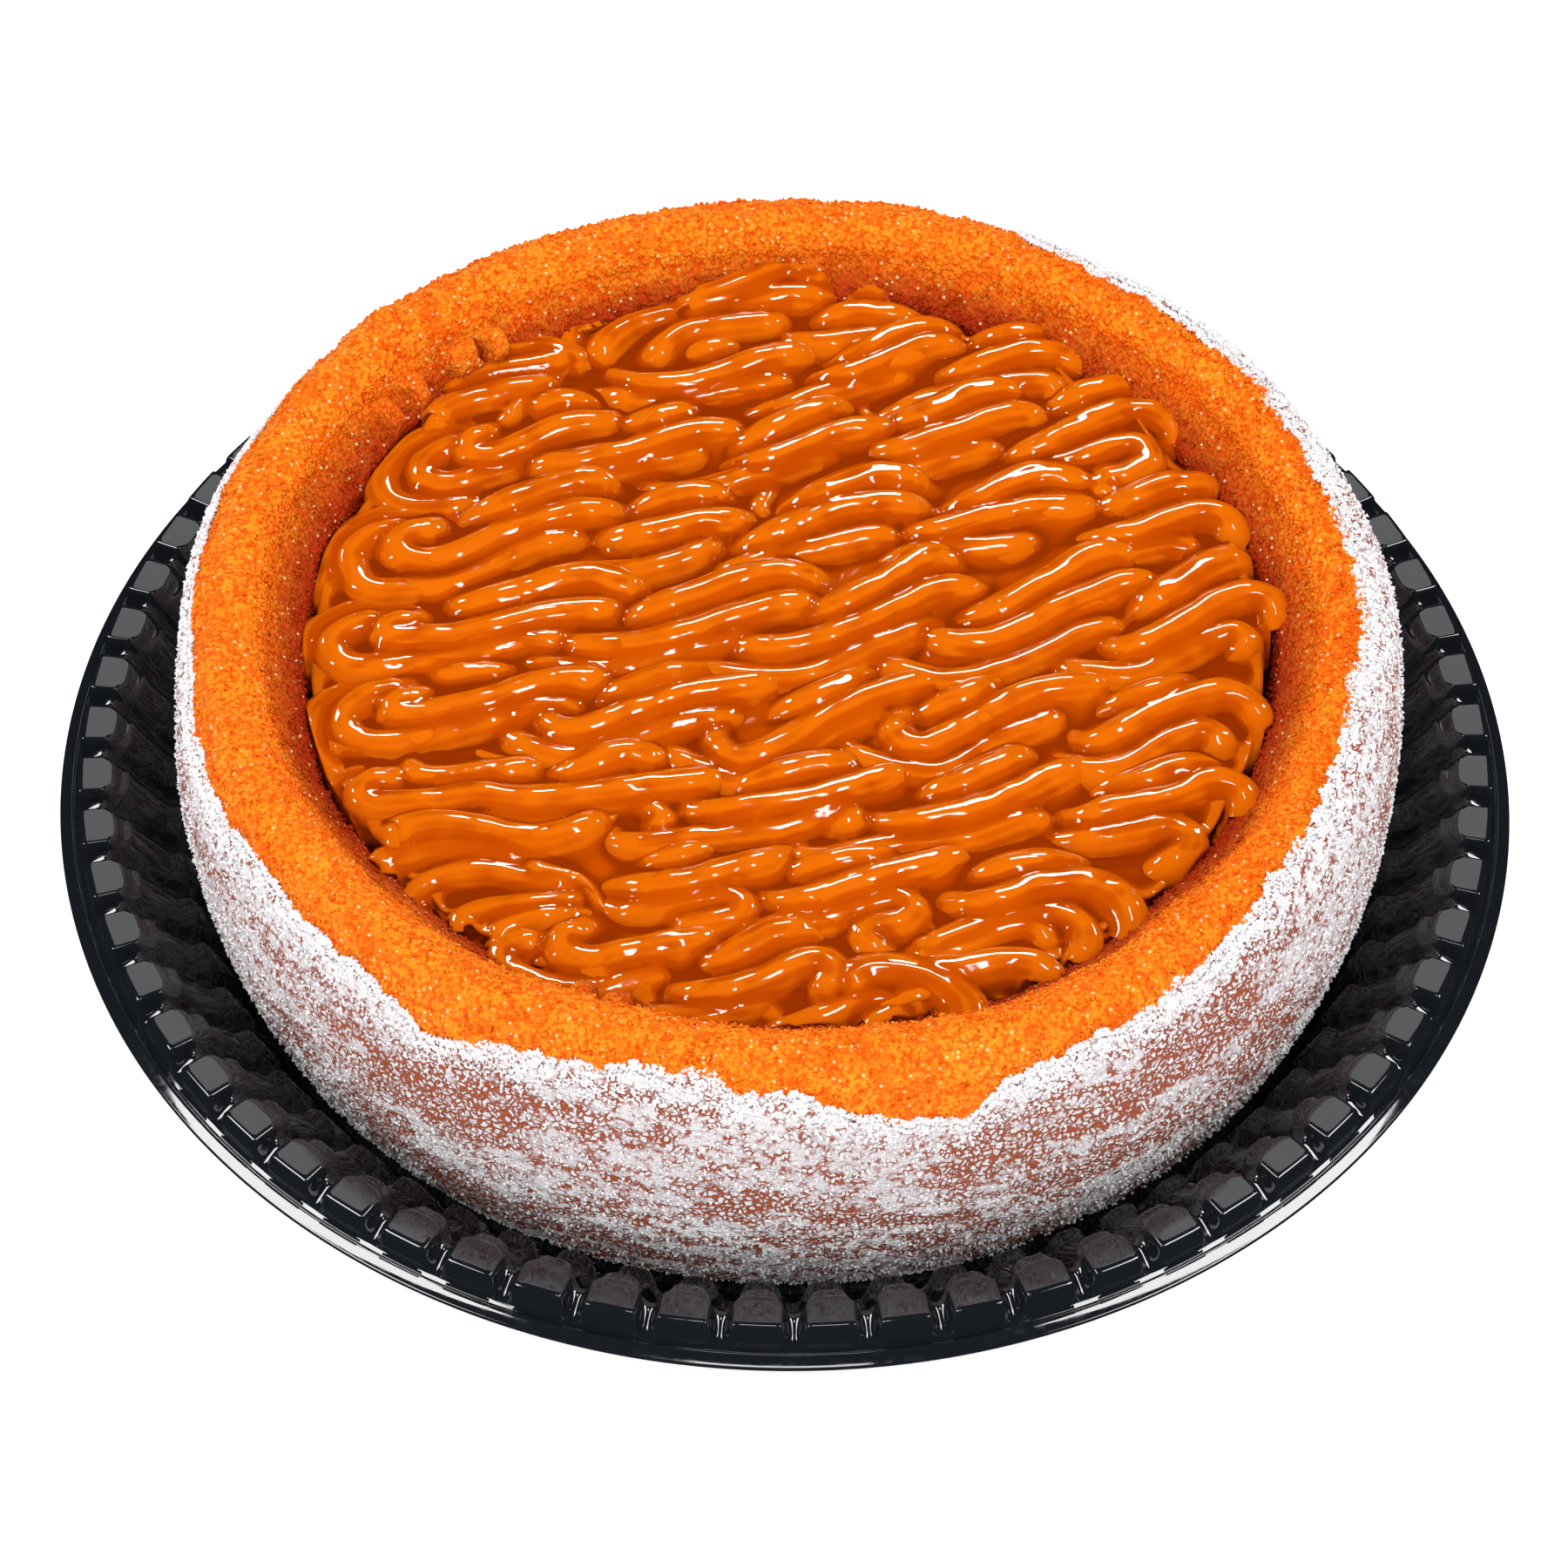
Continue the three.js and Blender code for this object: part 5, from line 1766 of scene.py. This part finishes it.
    def _hollows(self, piece: bpy.types.Object) -> None:
        """Notes on each point how deep it lies between the ridges, for the finish's painted shade in the
        creases and painted light on the crests.

        Args:
            piece: The piece to measure.
        """
        pick(piece)
        bpy.ops.object.duplicate()
        even = bpy.context.object
        bake(even, "SMOOTH", factor=0.5, iterations=self.hollow_smooths)
        shift = points_of(even) - points_of(piece)
        bpy.data.objects.remove(even)
        normals = np.zeros(len(piece.data.vertices) * 3, np.float32)
        piece.data.vertex_normals.foreach_get("vector", normals)
        depth = (shift * normals.reshape(-1, 3)).sum(1) / MM
        notes = piece.data.attributes.new("hollow", "FLOAT", "POINT")
        notes.data.foreach_set("value", depth.astype(np.float32))

    def _settled(self, points: Array) -> Array:
        """Lets a row's skin settle: swayed, marked by the nozzle's drag and kept inside the well.

        Args:
            points: The row's points, in metres.

        Returns:
            Their new places.
        """
        points = points + sum(
            np.stack([Lumps(width, seed).soft(points) for seed in seeds], 1) * sway
            for width, sway, seeds in self.sways
        )
        across = np.array([math.sin(self.drag_angle), -math.cos(self.drag_angle)])
        along = np.array([math.cos(self.drag_angle), math.sin(self.drag_angle)])
        stretched = points[:, :2] @ along * self.drag_stretch
        combed = np.column_stack([stretched, points[:, :2] @ across, points[:, 2]])
        dragged = smoothstep(*self.drag_levels, Lumps(*self.drag_patches).soft(points))
        points[:, 2] += self.drag_depth * MM * dragged * Lumps(*self.drag_marks).soft(combed)
        radius = np.hypot(points[:, 0], points[:, 1])
        inside = np.minimum(1, self.well_radius * MM / np.maximum(radius, 1e-6))
        points[:, :2] *= np.where(points[:, 2] < self.well_top, inside, 1)[:, None]
        return points

    def row(self, name: str, ridges: tuple[Ridge, ...]) -> bpy.types.Object:
        """Pipes one row of ridges and fuses them.

        Args:
            name: Name of the row.
            ridges: Its ridges, from left to right.

        Returns:
            The finished row.
        """
        deselect()
        bpy.ops.curve.primitive_nurbs_path_add()
        piped = bpy.context.object
        piped.name = f"caramel_row_{name}"
        curve = piped.data
        curve.splines.clear()
        for ridge in ridges:
            points, sizes = self._route(ridge)
            for sunk, wider in ((0, 1), (self.body_drop, self.body_width)):
                spline = curve.splines.new("POLY")
                spline.points.add(len(points) - 1)
                places = (points - np.array([0, 0, sunk])) * MM
                spline.points.foreach_set("co", np.column_stack([places, np.ones(len(points))]).ravel())
                spline.points.foreach_set("radius", sizes * wider)
        curve.dimensions = "3D"
        curve.bevel_depth = MM
        curve.bevel_resolution = 4
        curve.use_fill_caps = True
        pick(piped)
        bpy.ops.object.convert(target="MESH")
        piped = bpy.context.object
        bake(piped, "REMESH", mode="VOXEL", voxel_size=self.grain)
        bpy.ops.object.mode_set(mode="EDIT")
        bpy.ops.mesh.select_all(action="SELECT")
        cut = (0, 0, self.underside * MM)
        bpy.ops.mesh.bisect(plane_co=cut, plane_no=(0, 0, 1), use_fill=True, clear_inner=True)
        bpy.ops.object.mode_set(mode="OBJECT")
        bake(piped, "SMOOTH", factor=0.5, iterations=2)
        place_points(piped, self._settled(points_of(piped)))
        self._hollows(piped)
        return hand_over(piped, self.finish)

    def _land(self) -> Array:
        """Fills the space between the ridges.

        Each ridge's side runs on from where it is steep, ever flatter, until it meets its neighbour's.

        Returns:
            Height of the caramel on a square grid round the cake's middle, in millimetres.
        """
        edge, reach = self.land_half * self.land_cells, self.land_reach * self.land_cells
        tops = np.full((2 * edge + 1, 2 * edge + 1), self.bed_height)
        steps = np.arange(-reach, reach + 1)
        steep = self.land_start / math.sqrt(1 - self.land_start**2)
        for ridges in ROWS.values():
            for ridge in ridges:
                for (x, y, z), size in zip(*self._route(ridge)):
                    column, row = round(x * self.land_cells), round(y * self.land_cells)
                    aside = (column + steps[:, None]) / self.land_cells - x
                    ahead = (row + steps[None, :]) / self.land_cells - y
                    away = np.hypot(aside, ahead)
                    past = np.maximum(away - self.land_start * size, 0)
                    inside = np.sqrt(np.maximum(size**2 - np.minimum(away, self.land_start * size) ** 2, 0))
                    height = z + inside - self.land_drop * (1 - np.exp(-past * steep / self.land_drop))
                    left, low = column + edge - reach, row + edge - reach
                    window = tops[left:left + len(steps), low:low + len(steps)]
                    np.maximum(window, height - self.land_under, out=window)
        return tops

    def _drape(self, across: Array, along: Array) -> Array:
        """Lays the bed's sheet from the middle to the well's side, and back under it.

        Args:
            across: Share of the way round.
            along: Share of the way out, round the edge and back to the middle.

        Returns:
            The places of the points, in metres.
        """
        land = self._land()
        angle = across * TURN
        ring = np.rint(along * self.all_rings).astype(int)
        radius = (self.well_radius - 1) * np.minimum(ring, self.rings) / self.rings
        radius = np.where(ring == self.all_rings, 0, radius)
        flat = np.stack([radius * np.cos(angle), radius * np.sin(angle), 0 * angle], 1) * MM
        height = uneven(flat, self.swells)
        place = flat[:, :2] / MM * self.land_cells + len(land) // 2
        cell = np.floor(place).astype(int)
        share = place - cell
        for corner in np.ndindex(2, 2):
            weight = np.prod(np.where(corner, share, 1 - share), axis=1)
            height = height + weight * land[tuple((cell + corner).T)]
        height = np.where(ring <= self.rings, height, self.floor)
        return np.column_stack([flat[:, :2], height * MM])

    def bed(self) -> bpy.types.Object:
        """Lays the caramel that fills the well under and between the strokes.

        Returns:
            The finished bed.
        """
        bed = lay_sheet("caramel_bed", self.around, self.all_rings, self._drape)
        weld(bed)
        bake(bed, "SMOOTH", factor=0.5, iterations=3)
        self._hollows(bed)
        return hand_over(bed, self.finish, ("filling",))

    def build(self) -> list[bpy.types.Object]:
        """Lays the bed, then pipes the rows."""
        return [self.bed()] + [self.row(name, ridges) for name, ridges in ROWS.items()]


# ---------------------------------------------------------------- studio


class Use(Enum):
    """What a light card is for."""

    SHADE = "soft shading, unseen in reflections"
    GLOSS = "reflections alone"


@dataclass(frozen=True)
class Card:
    """A rectangular light that faces the cake.

    Attributes:
        name: Name of the light.
        place: Its middle, in metres.
        size: Its width and height, in metres.
        brightness: Of its surface, where 1 is as bright as a lit white wall.
    """

    name: str
    place: tuple[float, float, float]
    size: Span
    brightness: float


@dataclass
class Studio:
    """Camera, light and floor. Lengths are in metres.

    Attributes:
        distance: From the camera to the middle of the plate's lip.
        elevation: Of the camera above the lip, in degrees.
        roll: Of the camera about its own axis, in degrees.
        lip: Height of the plate's lip.
        lens: Focal length, in millimetres.
        film: Width of the camera's picture, in millimetres.
        shift: How far the view is slid sideways and up.
        target: What the light cards face.
        floor_width: Of the floor.
        floor_glow: How brightly the floor shines by itself, so that it stays pale.
        room_glow: Brightness of the even light from all round.
        fills: Cards that shade all pieces softly.
        sparks: Cards that only the caramel's gloss shows.
        plate_cards: Cards that only the plate's gloss shows.
    """

    distance: float = 1.1749
    elevation: float = 49.436
    roll: float = 0.90
    lip: float = 0.021
    lens: float = 130.0
    film: float = 36
    shift: Span = (-0.00105, -0.0101)
    target: tuple[float, float, float] = (0, 0, 0.05)
    floor_width: float = 8
    floor_glow: float = 0.62
    room_glow: float = 0.72
    fills: tuple[Card, ...] = (
        Card("overhead", (0, 0.4, 1.4), (1.2, 1.0), 2.9),
        Card("front_fill", (0, -1.05, 1.1), (1.8, 0.8), 1.8),
        Card("low_fill", (0, -1.35, 0.42), (1.6, 0.35), 2.6),
        Card("left_fill", (-1.3, -0.3, 0.8), (0.8, 0.8), 2.0),
        Card("right_fill", (1.3, -0.3, 0.8), (0.8, 0.8), 2.2),
    )
    sparks: tuple[Card, ...] = (
        Card("spark", (0.05, 1.2, 0.9), (0.4, 0.2), 48),
        Card("top_spark", (0.2, 0.1, 1.2), (0.3, 0.07), 30),
        Card("back_left_spark", (-0.9, 0.9, 0.75), (0.2, 0.2), 50),
        Card("back_right_spark", (0.9, 0.9, 0.75), (0.15, 0.2), 44),
        Card("left_spark", (-1.0, -0.1, 0.7), (0.1, 0.2), 36),
    )
    plate_cards: tuple[Card, ...] = (
        Card("plate_back", (0, 1.0, 1.2), (0.9, 0.7), 1.2),
        Card("plate_top", (0, -0.35, 1.2), (0.3, 0.2), 8),
        Card("plate_left", (-0.9, -0.3, 1.0), (0.9, 0.5), 11),
        Card("plate_right", (0.9, -0.3, 1.0), (0.9, 0.5), 11),
    )

    def camera(self) -> None:
        """Sets up the camera at the photo's viewing angle."""
        tilt, roll = math.radians(self.elevation), math.radians(self.roll)
        back = Vector((0, -math.cos(tilt), math.sin(tilt)))
        right = Vector((1, 0, 0))
        up = back.cross(right)
        across = math.cos(roll) * right + math.sin(roll) * up
        upward = -math.sin(roll) * right + math.cos(roll) * up
        bpy.ops.object.camera_add(location=back * self.distance + Vector((0, 0, self.lip)))
        camera = bpy.context.object
        turn = camera.matrix_world.to_3x3()
        turn.col[0], turn.col[1], turn.col[2] = across, upward, back
        camera.rotation_euler = turn.to_euler()
        camera.data.lens = self.lens
        camera.data.sensor_width = self.film
        camera.data.shift_x, camera.data.shift_y = self.shift
        bpy.context.scene.camera = camera

    def hang(self, card: Card, use: Use, only_on: tuple[bpy.types.Object, ...] = ()) -> None:
        """Hangs one card.

        Args:
            card: The card to hang.
            use: What it is for.
            only_on: The pieces that it lights; it is flagged off all others. None named means all.
        """
        bpy.ops.object.light_add(type="AREA", location=card.place)
        light = bpy.context.object
        light.name = card.name
        light.rotation_euler = (Vector(card.place) - Vector(self.target)).to_track_quat("Z", "Y").to_euler()
        light.data.shape = "RECTANGLE"
        light.data.size, light.data.size_y = card.size
        light.data.energy = card.brightness * math.pi * card.size[0] * card.size[1]
        light.visible_glossy = use is Use.GLOSS
        light.visible_diffuse = use is Use.SHADE
        if only_on:
            lit = bpy.data.collections.new(f"{card.name}_lights")
            for piece in only_on:
                lit.objects.link(piece)
            light.light_linking.receiver_collection = lit

    def floor(self) -> None:
        """Lays the pale floor."""
        deselect()
        bpy.ops.mesh.primitive_plane_add(size=self.floor_width)
        floor = bpy.context.object
        floor.name = "floor"
        material, recipe = start_finish("pale_floor")
        recipe.surface({
            "Base Color": (0.8, 0.8, 0.8, 1),
            "Roughness": 0.7,
            "Emission Color": (1, 1, 1, 1),
            "Emission Strength": self.floor_glow,
        })
        floor.data.materials.append(material)
        floor.visible_glossy = False

    def surroundings(self) -> None:
        """Fills the room with even white light."""
        world = bpy.data.worlds.new("studio")
        bpy.context.scene.world = world
        world.use_nodes = True
        recipe = Recipe(world.node_tree)
        glow = recipe.node("ShaderNodeBackground", {"Color": (1, 1, 1, 1), "Strength": self.room_glow})
        recipe.node("ShaderNodeOutputWorld", {"Surface": glow.outputs[0]})
        world.cycles_visibility.glossy = False

    def build(self, plate: bpy.types.Object, caramel: list[bpy.types.Object]) -> None:
        """Sets up the studio, with cards for the plate's gloss and sparks for the caramel's.

        Args:
            plate: The finished plate.
            caramel: The caramel's pieces.
        """
        bpy.context.scene.view_settings.view_transform = "Standard"
        self.camera()
        self.floor()
        self.surroundings()
        for card in self.fills:
            self.hang(card, Use.SHADE)
        for card in self.sparks:
            self.hang(card, Use.GLOSS, tuple(caramel))
        for card in self.plate_cards:
            self.hang(card, Use.GLOSS, (plate,))


def main() -> None:
    """Builds the cake piece by piece, then the studio."""
    logging.basicConfig(level=logging.INFO, format="%(message)s")
    grain = FoodGrain().group()
    crumb = BakedCrumb(grain).material()
    caramel = WetCaramel().material()
    plate = Plate(BlackPlastic().material()).build()
    sponge = Sponge(crumb)
    sponge.build()
    coat = SugarCoat(sponge, SugarCrust(grain).material(), LooseSugar().material())
    coat.build()
    Crumbs(sponge, coat, crumb).build()
    strokes = Caramel(caramel).build()
    Studio().build(plate, strokes)


if __name__ == "__main__":
    main()
